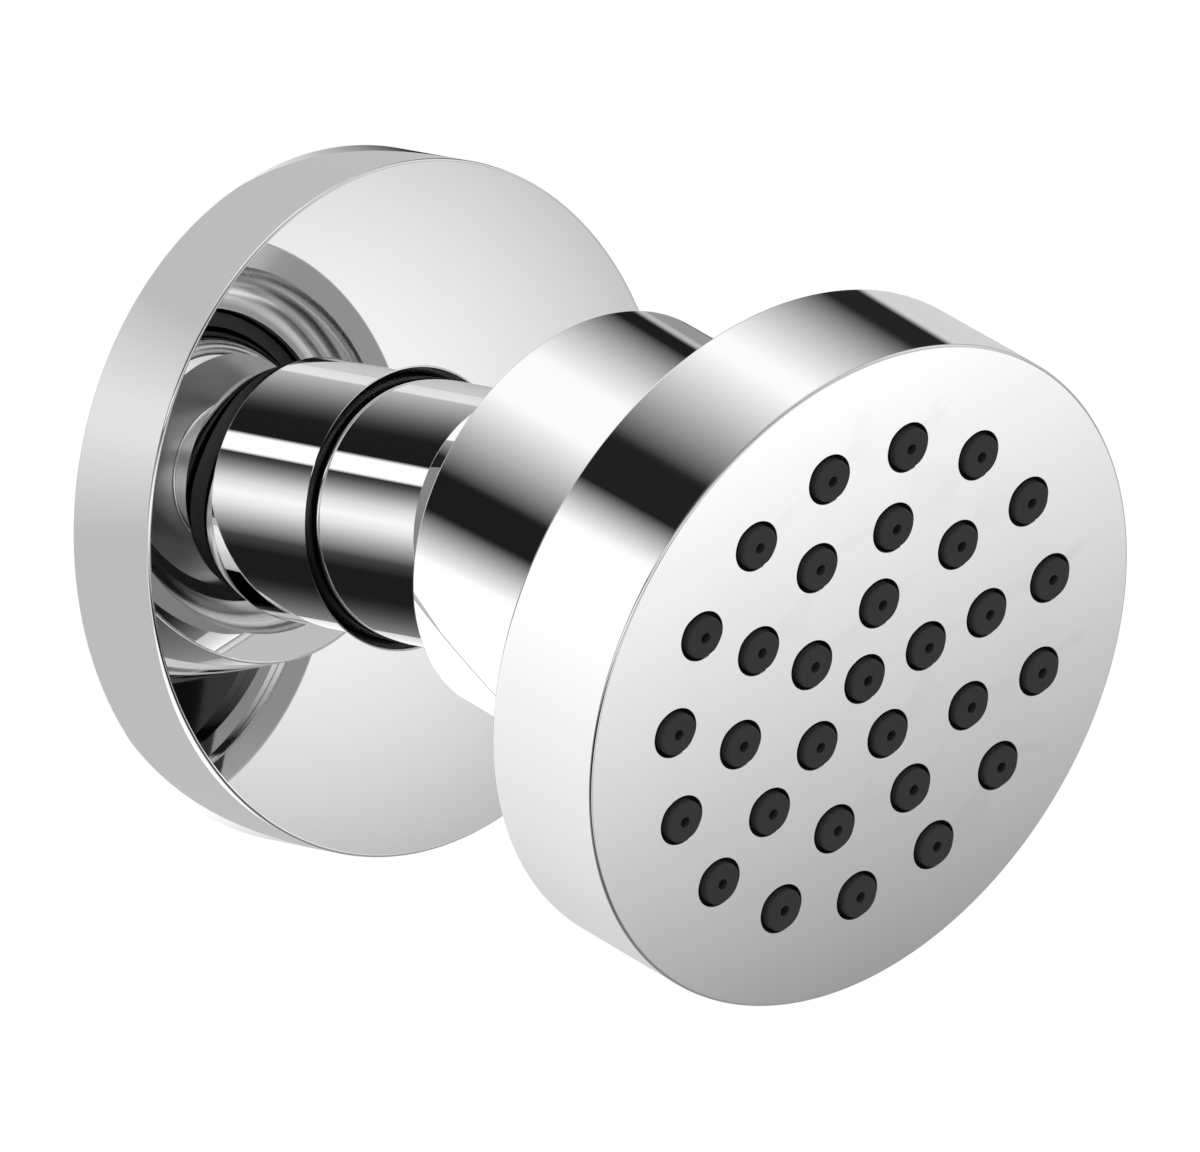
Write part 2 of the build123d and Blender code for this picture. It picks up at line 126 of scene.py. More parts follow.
@dataclass
class Outline:
    """Half section of a turned piece, made of straight runs, rounded corners and arcs."""

    knots: list[Knot] = field(default_factory=list)

    def to(
        self, radius: float, forward: float, blend: float = 0.0, flats: Optional[float] = None
    ) -> "Outline":
        """Go straight to a corner.

        Args:
            radius: distance from the axis.
            forward: distance along the axis.
            blend: radius of the rounding at this corner.
            flats: half width that the run up to this corner is milled to, if any.

        Returns:
            The outline itself.
        """
        self.knots.append(Knot(radius, forward, blend, None, flats))
        return self

    def arc(self, radius: float, forward: float, centre: tuple[float, float]) -> "Outline":
        """Go round a centre to a point.

        Args:
            radius: distance of the end point from the axis.
            forward: distance of the end point along the axis.
            centre: centre of the arc, as (radius, forward).

        Returns:
            The outline itself.
        """
        self.knots.append(Knot(radius, forward, 0.0, centre))
        return self

    def groove(self, surface: float, bottom: float, mid: float, half: float) -> "Outline":
        """Cut a square groove.

        Args:
            surface: radius of the surface that is grooved.
            bottom: radius of the groove's bottom.
            mid: middle of the groove along the axis.
            half: half its width, or minus that where the outline runs to the rear.

        Returns:
            The outline itself.
        """
        self.to(surface, mid - half).to(bottom, mid - half)
        return self.to(bottom, mid + half).to(surface, mid + half)

    def _side(self) -> float:
        """Turning sense of the outline.

        Returns:
            +1 when it runs counter-clockwise, else -1.
        """
        area = 0.0
        for a, b in zip(self.knots, self.knots[1:] + self.knots[:1]):
            area += a.radius * b.forward - b.radius * a.forward
        return math.copysign(1.0, area)

    def runs(self) -> list[tuple[list[Station], Optional[float]]]:
        """Split the closed outline into smooth runs.

        Returns:
            Lists of stations, each with the half width of its milled flats or None.
        """
        side = self._side()
        count = len(self.knots)
        runs = []
        ends = [self._rounding(i) for i in range(count)]
        for i, knot in enumerate(self.knots):
            last = self.knots[i - 1]
            start = ends[i - 1][-1] if ends[i - 1] else (last.radius, last.forward)
            stop = ends[i][0] if ends[i] else (knot.radius, knot.forward)
            if knot.centre is not None:
                runs.append((self._arc_stations(start, stop, knot.centre, side), None))
            elif math.dist(start, stop) > SAME_POINT:
                facing = self._facing(start, stop, side)
                runs.append(([Station(*start, facing), Station(*stop, facing)], knot.flats))
            if ends[i]:
                runs.append((self._round_stations(ends[i], i, side), knot.flats))
        return runs

    @staticmethod
    def _facing(start: tuple[float, float], stop: tuple[float, float], side: float) -> tuple[float, float]:
        """Outward direction of a straight run."""
        length = math.dist(start, stop)
        return (side * (stop[1] - start[1]) / length, -side * (stop[0] - start[0]) / length)

    @staticmethod
    def _arc_stations(
        start: tuple[float, float], stop: tuple[float, float], centre: tuple[float, float], side: float
    ) -> list[Station]:
        """Stations along an arc, the short way round.

        Args:
            start: first point of the arc.
            stop: last point of the arc.
            centre: centre of the arc.
            side: turning sense of the whole outline.

        Returns:
            The stations, about one for each three degrees.
        """
        first = math.atan2(start[1] - centre[1], start[0] - centre[0])
        sweep = math.atan2(stop[1] - centre[1], stop[0] - centre[0]) - first
        sweep = (sweep + math.pi) % math.tau - math.pi
        reach = math.dist(start, centre)
        out = side * math.copysign(1.0, sweep)
        steps = max(MIN_ARC_STEPS, round(abs(sweep) / ARC_STEP))
        stations = []
        for k in range(steps + 1):
            angle = first + sweep * k / steps
            way = (math.cos(angle), math.sin(angle))
            place = (centre[0] + reach * way[0], centre[1] + reach * way[1])
            stations.append(Station(max(place[0], 0.0), place[1], (out * way[0], out * way[1])))
        return stations

    def _rounding(self, index: int) -> list[tuple[float, float]]:
        """Where the rounding of a corner starts and ends.

        Args:
            index: number of the corner.

        Returns:
            The first and the last point, or nothing at a sharp corner.
        """
        knot = self.knots[index]
        if knot.blend <= 0.0:
            return []
        here = Vector((knot.radius, knot.forward))
        last = self.knots[index - 1]
        after = self.knots[(index + 1) % len(self.knots)]
        back = (Vector((last.radius, last.forward)) - here).normalized()
        ahead = (Vector((after.radius, after.forward)) - here).normalized()
        cut = knot.blend / math.tan(back.angle(ahead) / 2)
        return [tuple(here + back * cut), tuple(here + ahead * cut)]

    def _round_stations(self, ends: list[tuple[float, float]], index: int, side: float) -> list[Station]:
        """Stations round one corner.

        Args:
            ends: first and last point of the rounding.
            index: number of the corner.
            side: turning sense of the whole outline.

        Returns:
            The stations of the rounding.
        """
        knot = self.knots[index]
        here = Vector((knot.radius, knot.forward))
        first, last = Vector(ends[0]), Vector(ends[1])
        inward = ((first + last) / 2 - here).normalized()
        half = (first - here).angle(last - here) / 2
        centre = here + inward * (knot.blend / math.sin(half))
        a = Vector((first - centre)).normalized()
        b = Vector((last - centre)).normalized()
        before = self._facing(tuple(first + (first - here)), tuple(here), side)
        out = 1.0 if a.dot(Vector(before)) > 0 else -1.0
        stations = []
        for k in range(ROUND_STEPS + 1):
            way = a.slerp(b, k / ROUND_STEPS)
            place = centre + way * knot.blend
            stations.append(Station(place.x, place.y, (out * way.x, out * way.y)))
        return stations


@dataclass(frozen=True)
class Spindle:
    """Turning axis of a piece, in metres."""

    origin: Vector
    forward: Vector
    up: Vector

    def side(self) -> Vector:
        """Direction of a quarter turn from up."""
        return self.up.cross(self.forward)

    def around(self, turn: float) -> Vector:
        """Direction away from the axis at a turn from up."""
        return self.up * math.cos(turn) + self.side() * math.sin(turn)

    def point(self, radius: float, forward: float, turn: float) -> Vector:
        """Place of a point.

        Args:
            radius: distance from the axis, in millimetres.
            forward: distance along the axis, in millimetres.
            turn: angle from up, in radians.

        Returns:
            The point, in metres.
        """
        return self.origin + (self.around(turn) * radius + self.forward * forward) * MM

    def reach(self, place: Vector) -> float:
        """How far forward of the origin a place lies, in millimetres."""
        return (place - self.origin).dot(self.forward) / MM

    def shifted(self, radius: float, turn: float) -> "Spindle":
        """The same axis moved sideways by a radius at a turn."""
        return Spindle(self.point(radius, 0.0, turn), self.forward, self.up)


Lift = Callable[[Vector], tuple[Vector, Vector]]


class MeshDraft:
    """Corners, faces and exact surface directions of one piece."""

    def __init__(self) -> None:
        """Start empty."""
        self.corners: list[Vector] = []
        self.faces: list[list[int]] = []
        self.facings: list[Vector] = []
        self._found: dict[tuple[int, int, int], int] = {}

    def corner(self, place: Vector) -> int:
        """Find or add the corner at a place, shared by all faces that meet there.

        Args:
            place: the place, in metres.

        Returns:
            The corner's number.
        """
        key = tuple(round(value * WELD_STEPS) for value in place)
        if key not in self._found:
            self._found[key] = len(self.corners)
            self.corners.append(place.copy())
        return self._found[key]

    def face(self, places: list[Vector], facings: list[Vector]) -> None:
        """Add one face.

        Args:
            places: its corners, in order.
            facings: the surface direction at each corner.
        """
        numbers: list[int] = []
        kept: list[Vector] = []
        for place, facing in zip(places, facings):
            number = self.corner(place)
            if number not in numbers:
                numbers.append(number)
                kept.append(facing)
        if len(numbers) < 3:
            return
        a, b, c = (self.corners[n] for n in (numbers[0], numbers[1], numbers[-1]))
        if (b - a).cross(c - a).dot(sum(kept, Vector())) < 0:
            numbers.reverse()
            kept.reverse()
        self.faces.append(numbers)
        self.facings.extend(kept)

    def grid(self, rows: list[list[tuple[Vector, Vector]]]) -> None:
        """Join rows of (place, facing) points that each close on themselves.

        Args:
            rows: the rows, all of one length.
        """
        for low, high in zip(rows, rows[1:]):
            for j in range(len(low)):
                k = (j + 1) % len(low)
                cell = (low[j], high[j], high[k], low[k])
                self.face([c[0] for c in cell], [c[1] for c in cell])

    def turned(self, spindle: Spindle, outline: Outline, segments: int = FINE_TURN) -> None:
        """Turn a closed outline about an axis.

        Args:
            spindle: the axis.
            outline: the half section.
            segments: number of steps round the axis.
        """
        for stations, flats in outline.runs():
            self.grid([ring_of(spindle, s, segments, flats) for s in stations])

    def plate(self, loops: list[list[Vector]], facing: Vector, lift: Optional[Lift] = None) -> None:
        """Fill a flat face that has an outer loop and holes.

        Args:
            loops: corners of the outer loop and of each hole.
            facing: the direction that the face looks in.
            lift: bends the filled face, giving the new place and direction of each corner.
        """
        sheet = bmesh.new()
        for loop in loops:
            dots = [sheet.verts.new(place) for place in loop]
            for a, b in zip(dots, dots[1:] + dots[:1]):
                sheet.edges.new((a, b))
        bmesh.ops.triangle_fill(sheet, use_beauty=True, edges=sheet.edges[:], normal=facing)
        for cell in sheet.faces:
            points = [lift(v.co.copy()) if lift else (v.co.copy(), facing) for v in cell.verts]
            self.face([p[0] for p in points], [p[1] for p in points])
        sheet.free()

    def build(self, name: str) -> bpy.types.Object:
        """Make the mesh object.

        Args:
            name: name of the piece.

        Returns:
            The new object, linked to the scene.
        """
        mesh = bpy.data.meshes.new(name)
        mesh.from_pydata(self.corners, [], self.faces)
        mesh.polygons.foreach_set("use_smooth", [True] * len(mesh.polygons))
        mesh.normals_split_custom_set([tuple(n.normalized()) for n in self.facings])
        mesh.update()
        piece = bpy.data.objects.new(name, mesh)
        bpy.context.scene.collection.objects.link(piece)
        return piece


def ring_of(
    spindle: Spindle, station: Station, segments: int, flats: Optional[float] = None
) -> list[tuple[Vector, Vector]]:
    """Points of one ring of a turned surface.

    Args:
        spindle: the turning axis.
        station: outline point of the ring.
        segments: number of points.
        flats: half width across two milled flats, or None.

    Returns:
        The (place, facing) pairs of the ring.
    """
    ring = []
    for j in range(segments):
        turn = math.tau * j / segments
        place = spindle.point(station.radius, station.forward, turn)
        facing = spindle.around(turn) * station.facing[0] + spindle.forward * station.facing[1]
        if flats is not None and abs(place.x) > flats * MM:
            place.x = math.copysign(flats * MM, place.x)
            if station.facing[0] > OUTER_SHARE:
                facing = Vector((math.copysign(1.0, place.x), 0.0, 0.0))
        ring.append((place, facing))
    return ring


def circle(spindle: Spindle, radius: float, forward: float, segments: int) -> list[Vector]:
    """Corners of a circle square to an axis."""
    return [spindle.point(radius, forward, math.tau * j / segments) for j in range(segments)]


def turned_piece(name: str, spindle: Spindle, outline: Outline) -> bpy.types.Object:
    """Make a piece of one turned outline.

    Args:
        name: name of the piece.
        spindle: the turning axis.
        outline: the half section.

    Returns:
        The new object, linked to the scene.
    """
    draft = MeshDraft()
    draft.turned(spindle, outline)
    return draft.build(name)


def faces_at(piece: bpy.types.Object, spindle: Spindle, forward: float) -> list[bpy.types.MeshPolygon]:
    """Faces of a piece whose middles lie in the plane at a distance along an axis."""
    return [f for f in piece.data.polygons if abs(spindle.reach(f.center) - forward) < IN_PLANE]


def seat(piece: bpy.types.Object, body: Body, slot: Slot, *nodes: str) -> bpy.types.Object:
    """Fix a piece to its body and let it stand for its solids.

    Args:
        piece: the dressed piece.
        body: the body that it moves with.
        slot: the record's slot for its finish; not used.
        nodes: the solids that it stands for.

    Returns:
        The piece.
    """
    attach(piece, body.value)
    if nodes:
        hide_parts(*nodes)
    LOG.info("%s rides on %s, %d faces", piece.name, body.value, len(piece.data.polygons))
    return piece


# Shader groups shared by the finishes

# Sockets of a node that mixes colours
MIX_FACTOR = 0
MIX_A = 6
MIX_B = 7
MIX_COLOUR = 2


def add_node(
    tree: bpy.types.NodeTree, kind: str, presets: Optional[dict[str | int, object]] = None, **values: object
) -> bpy.types.Node:
    """Add a node to a tree.

    Args:
        tree: the node tree.
        kind: the node's type.
        presets: fixed values of its inputs.
        values: its properties.

    Returns:
        The node.
    """
    made = tree.nodes.new(kind)
    for name, value in values.items():
        setattr(made, name, value)
    for socket, value in (presets or {}).items():
        made.inputs[socket].default_value = value
    return made


class GroupMaker:
    """Builds one shader group with named sockets."""

    def __init__(self, name: str) -> None:
        """Start an empty group.

        Args:
            name: name of the group.
        """
        self.tree = bpy.data.node_groups.new(name, "ShaderNodeTree")
        self.inlet: Optional[bpy.types.Node] = None
        self.outlet: Optional[bpy.types.Node] = None

    def sockets(self, inputs: dict[str, float | tuple], outputs: dict[str, str]) -> None:
        """Make the group's sockets.

        Args:
            inputs: name and default of each input.
            outputs: name and socket type of each output.
        """
        for name, default in inputs.items():
            kind = "NodeSocketColor" if isinstance(default, tuple) else "NodeSocketFloat"
            self.tree.interface.new_socket(name, in_out="INPUT", socket_type=kind).default_value = default
        for name, kind in outputs.items():
            self.tree.interface.new_socket(name, in_out="OUTPUT", socket_type=kind)
        self.inlet = self.node("NodeGroupInput")
        self.outlet = self.node("NodeGroupOutput")

    def node(
        self, kind: str, presets: Optional[dict[str | int, object]] = None, **values: object
    ) -> bpy.types.Node:
        """Add a node to the group, as add_node does."""
        return add_node(self.tree, kind, presets, **values)

    def join(self, start: bpy.types.NodeSocket, stop: bpy.types.NodeSocket) -> None:
        """Link two sockets."""
        self.tree.links.new(start, stop)


def mottle_group() -> bpy.types.NodeTree:
    """Cloudy variation: soft patches and a fine grain, for colour, gloss and relief.

    Returns:
        The group, with outputs Patches, Grain and Height.
    """
    make = GroupMaker("cloudy_mottle")
    make.sockets(
        {"Patch Scale": 60.0, "Grain Scale": 900.0, "Grain Share": 0.5},
        {"Patches": "NodeSocketFloat", "Grain": "NodeSocketFloat", "Height": "NodeSocketFloat"},
    )
    where = make.node("ShaderNodeTexCoord")
    patches = make.node("ShaderNodeTexNoise", {"Detail": 3.0})
    grain = make.node("ShaderNodeTexNoise", {"Detail": 6.0})
    mixed = make.node("ShaderNodeMix", data_type="FLOAT")
    make.join(where.outputs["Object"], patches.inputs["Vector"])
    make.join(where.outputs["Object"], grain.inputs["Vector"])
    make.join(make.inlet.outputs["Patch Scale"], patches.inputs["Scale"])
    make.join(make.inlet.outputs["Grain Scale"], grain.inputs["Scale"])
    make.join(make.inlet.outputs["Grain Share"], mixed.inputs["Factor"])
    make.join(patches.outputs["Fac"], mixed.inputs["A"])
    make.join(grain.outputs["Fac"], mixed.inputs["B"])
    make.join(patches.outputs["Fac"], make.outlet.inputs["Patches"])
    make.join(grain.outputs["Fac"], make.outlet.inputs["Grain"])
    make.join(mixed.outputs["Result"], make.outlet.inputs["Height"])
    return make.tree


def worn_and_shaded_edges_group() -> bpy.types.NodeTree:
    """Worn and shaded edges: the colour changes where the surface turns sharply outward. Lighter edges are
    wear; darker edges, on the chrome, are painted shade.

    Returns:
        The group, with the output Colour.
    """
    make = GroupMaker("worn_and_shaded_edges")
    make.sockets(
        {
            "Colour": (0.8, 0.8, 0.8, 1.0),
            "Rubbed Colour": (0.9, 0.9, 0.9, 1.0),
            "Strength": 0.5,
            "Breakup": 300.0,
        },
        {"Colour": "NodeSocketColor"},
    )
    shape = make.node("ShaderNodeNewGeometry")
    sharp = make.node("ShaderNodeMapRange", {"From Min": 0.53, "From Max": 0.62})
    where = make.node("ShaderNodeTexCoord")
    noise = make.node("ShaderNodeTexNoise", {"Detail": 4.0})
    broken = make.node("ShaderNodeMath", operation="MULTIPLY")
    scaled = make.node("ShaderNodeMath", operation="MULTIPLY", use_clamp=True)
    mixed = make.node("ShaderNodeMix", data_type="RGBA")
    make.join(shape.outputs["Pointiness"], sharp.inputs["Value"])
    make.join(where.outputs["Object"], noise.inputs["Vector"])
    make.join(make.inlet.outputs["Breakup"], noise.inputs["Scale"])
    make.join(sharp.outputs["Result"], broken.inputs[0])
    make.join(noise.outputs["Fac"], broken.inputs[1])
    make.join(broken.outputs["Value"], scaled.inputs[0])
    make.join(make.inlet.outputs["Strength"], scaled.inputs[1])
    make.join(scaled.outputs["Value"], mixed.inputs["Factor"])
    make.join(make.inlet.outputs["Colour"], mixed.inputs[MIX_A])
    make.join(make.inlet.outputs["Rubbed Colour"], mixed.inputs[MIX_B])
    make.join(mixed.outputs[MIX_COLOUR], make.outlet.inputs["Colour"])
    return make.tree


def film_group() -> bpy.types.NodeTree:
    """Dried water film: faint rings and spots that raise the roughness a little.

    Returns:
        The group, with the output Roughness.
    """
    make = GroupMaker("water_film")
    make.sockets(
        {"Clean": 0.03, "Filmed": 0.08, "Spot Scale": 220.0},
        {"Roughness": "NodeSocketFloat"},
    )
    where = make.node("ShaderNodeTexCoord")
    cells = make.node("ShaderNodeTexVoronoi", feature="SMOOTH_F1")
    inside = {"From Min": 0.22, "From Max": 0.08}
    ring = make.node("ShaderNodeMapRange", inside, interpolation_type="SMOOTHSTEP")
    cloud = make.node("ShaderNodeTexNoise", {"Scale": 45.0})
    gate = make.node("ShaderNodeMath", operation="MULTIPLY")
    mixed = make.node("ShaderNodeMix", data_type="FLOAT")
    make.join(where.outputs["Object"], cells.inputs["Vector"])
    make.join(where.outputs["Object"], cloud.inputs["Vector"])
    make.join(make.inlet.outputs["Spot Scale"], cells.inputs["Scale"])
    make.join(cells.outputs["Distance"], ring.inputs["Value"])
    make.join(ring.outputs["Result"], gate.inputs[0])
    make.join(cloud.outputs["Fac"], gate.inputs[1])
    make.join(gate.outputs["Value"], mixed.inputs["Factor"])
    make.join(make.inlet.outputs["Clean"], mixed.inputs["A"])
    make.join(make.inlet.outputs["Filmed"], mixed.inputs["B"])
    make.join(mixed.outputs["Result"], make.outlet.inputs["Roughness"])
    return make.tree


class GroupShelf:
    """The shared groups, each built once when first asked for."""

    _makers: dict[str, Callable[[], bpy.types.NodeTree]] = {
        "mottle": mottle_group,
        "edges": worn_and_shaded_edges_group,
        "film": film_group,
    }
    _made: dict[str, bpy.types.NodeTree] = {}

    @classmethod
    def place(cls, tree: bpy.types.NodeTree, name: str, **values: float | tuple) -> bpy.types.Node:
        """Put a group into a material.

        Args:
            tree: the material's node tree.
            name: short name of the group.
            values: values of its inputs, with underscores for spaces.

        Returns:
            The group node.
        """
        if name not in cls._made:
            cls._made[name] = cls._makers[name]()
        node = tree.nodes.new("ShaderNodeGroup")
        node.node_tree = cls._made[name]
        for socket, value in values.items():
            node.inputs[socket.replace("_", " ")].default_value = value
        return node


@dataclass(frozen=True)
class Drift:
    """How a finish's colour drifts in patches and changes on sharp edges: wear where they turn lighter,
    painted shade where they turn darker.
    """

    patch_scale: float
    grain_scale: float
    grain_share: float
    dark: float
    light: float
    worn_and_shaded_tone: float
    worn_and_shaded_strength: float
    breakup: float


@dataclass(frozen=True)
class Finish:
    """A surface finish; each kind adds its own shader nodes."""

    name: str
    colour: tuple[float, float, float]

    def material(self) -> bpy.types.Material:
        """Make the finish's material, or find it if it is made.

        Returns:
            The material.
        """
        found = bpy.data.materials.get(self.name)
        if found is not None:
            return found
        made = bpy.data.materials.new(self.name)
        made.use_nodes = True
        made.diffuse_color = (*self.colour, 1.0)
        self.wire(made.node_tree, made.node_tree.nodes["Principled BSDF"])
        return made

    def wire(self, tree: bpy.types.NodeTree, shader: bpy.types.Node) -> None:
        """Build the nodes that feed the shader."""
        raise NotImplementedError

    def paint(self, tree: bpy.types.NodeTree, shader: bpy.types.Node, drift: Drift) -> bpy.types.Node:
        """Feed the shader's colour with cloudy tones and an edge colour, wear where the edges turn lighter
        and painted shade where they turn darker.

        Args:
            tree: the material's node tree.
            shader: its shader.
            drift: how the colour changes.

        Returns:
            The mottle group's node, for gloss and relief.
        """
        mottle = GroupShelf.place(
            tree,
            "mottle",
            Patch_Scale=drift.patch_scale,
            Grain_Scale=drift.grain_scale,
            Grain_Share=drift.grain_share,
        )
        tones = {MIX_A: self.rgba(drift.dark), MIX_B: self.rgba(drift.light)}
        tone = add_node(tree, "ShaderNodeMix", tones, data_type="RGBA")
        edges = GroupShelf.place(
            tree,
            "edges",
            Rubbed_Colour=self.rgba(drift.worn_and_shaded_tone),
            Strength=drift.worn_and_shaded_strength,
            Breakup=drift.breakup,
        )
        tree.links.new(mottle.outputs["Patches"], tone.inputs[MIX_FACTOR])
        tree.links.new(tone.outputs[MIX_COLOUR], edges.inputs["Colour"])
        tree.links.new(edges.outputs["Colour"], shader.inputs["Base Color"])
        return mottle

    def rgba(self, factor: float = 1.0) -> tuple[float, float, float, float]:
        """The colour, made lighter or darker."""
        return (*(min(1.0, c * factor) for c in self.colour), 1.0)

    def dress(self, piece: bpy.types.Object) -> bpy.types.Object:
        """Give a piece this finish alone.

        Args:
            piece: the piece.

        Returns:
            The piece.
        """
        piece.data.materials.clear()
        piece.data.materials.append(self.material())
        return piece

    def dress_faces(self, piece: bpy.types.Object, faces: list[bpy.types.MeshPolygon]) -> None:
        """Give some faces of a piece this finish, over the one that it has.

        Args:
            piece: the dressed piece.
            faces: the faces that change.
        """
        piece.data.materials.append(self.material())
        for face in faces:
            face.material_index = len(piece.data.materials) - 1


@dataclass(frozen=True)
class ChromeFinish(Finish):
    """Polished plate with a trace of dried water."""

    clean: float = 0.012
    filmed: float = 0.035
    spot_scale: float = 240.0

    def wire(self, tree: bpy.types.NodeTree, shader: bpy.types.Node) -> None:
        """Mirror metal whose gloss and tone drift slightly over the surface, with painted shade darkening its
        sharp edges.

        Args:
            tree: the material's node tree.
            shader: its shader.
        """
        shader.inputs["Metallic"].default_value = 1.0
        self.paint(tree, shader, CHROME_DRIFT)
        film = GroupShelf.place(
            tree, "film", Clean=self.clean, Filmed=self.filmed, Spot_Scale=self.spot_scale
        )
        tree.links.new(film.outputs["Roughness"], shader.inputs["Roughness"])


@dataclass(frozen=True)
class GrainedFinish(Finish):
    """A finish with uneven gloss and a fine relief."""

    rough_low: float = 0.5
    rough_high: float = 0.65
    relief: float = 0.04
    relief_depth: float = 0.05

    def roughen(self, tree: bpy.types.NodeTree, shader: bpy.types.Node, mottle: bpy.types.Node) -> None:
        """Feed the shader's gloss and relief from the mottle.

        Args:
            tree: the material's node tree.
            shader: its shader.
            mottle: the mottle group's node.
        """
        gloss = add_node(tree, "ShaderNodeMapRange", {"To Min": self.rough_low, "To Max": self.rough_high})
        depth = {"Strength": self.relief, "Distance": self.relief_depth * MM}
        bump = add_node(tree, "ShaderNodeBump", depth)
        tree.links.new(mottle.outputs["Grain"], gloss.inputs["Value"])
        tree.links.new(gloss.outputs["Result"], shader.inputs["Roughness"])
        tree.links.new(mottle.outputs["Height"], bump.inputs["Height"])
        tree.links.new(bump.outputs["Normal"], shader.inputs["Normal"])


@dataclass(frozen=True)
class SoftFinish(GrainedFinish):
    """Moulded rubber or plastic with a matt grain."""

    grain_scale: float = 2600.0
    specular: float = 0.3

    def wire(self, tree: bpy.types.NodeTree, shader: bpy.types.Node) -> None:
        """Mottled colour, uneven gloss and a fine moulded grain.

        Args:
            tree: the material's node tree.
            shader: its shader.
        """
        shader.inputs["Specular IOR Level"].default_value = self.specular
        mottle = self.paint(tree, shader, replace(SOFT_DRIFT, grain_scale=self.grain_scale))
        self.roughen(tree, shader, mottle)


@dataclass(frozen=True)
class SteelFinish(GrainedFinish):
    """Bare spring steel with a drawn grain and rubbed edges."""

    rough_low: float = 0.22
    rough_high: float = 0.38
    relief: float = 0.05
    relief_depth: float = 0.02

    def wire(self, tree: bpy.types.NodeTree, shader: bpy.types.Node) -> None:
        """Satin metal, brighter on its edges.

        Args:
            tree: the material's node tree.
            shader: its shader.
        """
        shader.inputs["Metallic"].default_value = 1.0
        self.roughen(tree, shader, self.paint(tree, shader, STEEL_DRIFT))


# On every chrome finish the sharp edges turn darker: painted shade that stands in for the thin dark lines
# along the edges.
CHROME_DRIFT = Drift(
    patch_scale=55.0, grain_scale=700.0, grain_share=0.2,
    dark=0.99, light=1.01, worn_and_shaded_tone=0.86, worn_and_shaded_strength=0.6, breakup=420.0,
)
SOFT_DRIFT = Drift(
    patch_scale=150.0, grain_scale=2600.0, grain_share=0.7,
    dark=0.88, light=1.12, worn_and_shaded_tone=1.35, worn_and_shaded_strength=0.5, breakup=900.0,
)
STEEL_DRIFT = Drift(
    patch_scale=120.0, grain_scale=1800.0, grain_share=0.6,
    dark=0.85, light=1.1, worn_and_shaded_tone=1.4, worn_and_shaded_strength=0.8, breakup=500.0,
)

CHROME = ChromeFinish("polished_chrome", (0.95, 0.95, 0.95))
SATIN = ChromeFinish("satin_chrome", (0.62, 0.62, 0.62), clean=0.3, filmed=0.36)
SILICONE = SoftFinish("nozzle_silicone", (0.03, 0.03, 0.031), rough_low=0.55, rough_high=0.72)
BRIGHT_STEEL = ChromeFinish("bright_spring_steel", (0.88, 0.88, 0.87), clean=0.02, filmed=0.05)
# Chrome painted nearly black: painted shade for the head's rear plate, down in its recess.
RECESS_SHADE_CHROME = ChromeFinish("recess_painted_shade_chrome", (0.13, 0.13, 0.13), clean=0.04, filmed=0.08)
TURNED = ChromeFinish("turned_chrome", (0.85, 0.85, 0.85), clean=0.2, filmed=0.26)
GRIP_RUBBER = SoftFinish(
    "grip_rubber", (0.02, 0.02, 0.02), rough_low=0.16, rough_high=0.2, relief=0.002, specular=0.5
)
RUBBER = SoftFinish("seal_rubber", (0.02, 0.02, 0.02), rough_low=0.45, rough_high=0.6, grain_scale=1800.0)
WHITE_PLASTIC = SoftFinish("white_acetal", (0.78, 0.78, 0.75), rough_low=0.32, rough_high=0.45, relief=0.02)
BLACK_PLASTIC = SoftFinish("black_acetal", (0.035, 0.035, 0.037), rough_low=0.3, rough_high=0.45, relief=0.02)
STEEL = SteelFinish("bare_spring_steel", (0.55, 0.55, 0.54))


# Axes of the part

PIVOT = Vector(frame["joints"][1]["pos_m"])
HEAD_TILT = math.radians(15.0)
STEM = Spindle(Vector((0, 0, 0)), Vector((0, -1, 0)), Vector((0, 0, 1)))
HEAD = Spindle(
    PIVOT,
    Vector((0, -math.cos(HEAD_TILT), -math.sin(HEAD_TILT))),
    Vector((0, -math.sin(HEAD_TILT), math.cos(HEAD_TILT))),
)
PIVOT_FORWARD = -PIVOT.y / MM
COVER_DEPTH = 8.0
COLLAR_END = COVER_DEPTH + 10.6
TAPER_END = COLLAR_END + 4.37

# Roundings of broken and eased edges, and the gap between pieces that lie on each other
BROKEN = 0.1
EASED = 0.2
FIT = 0.02


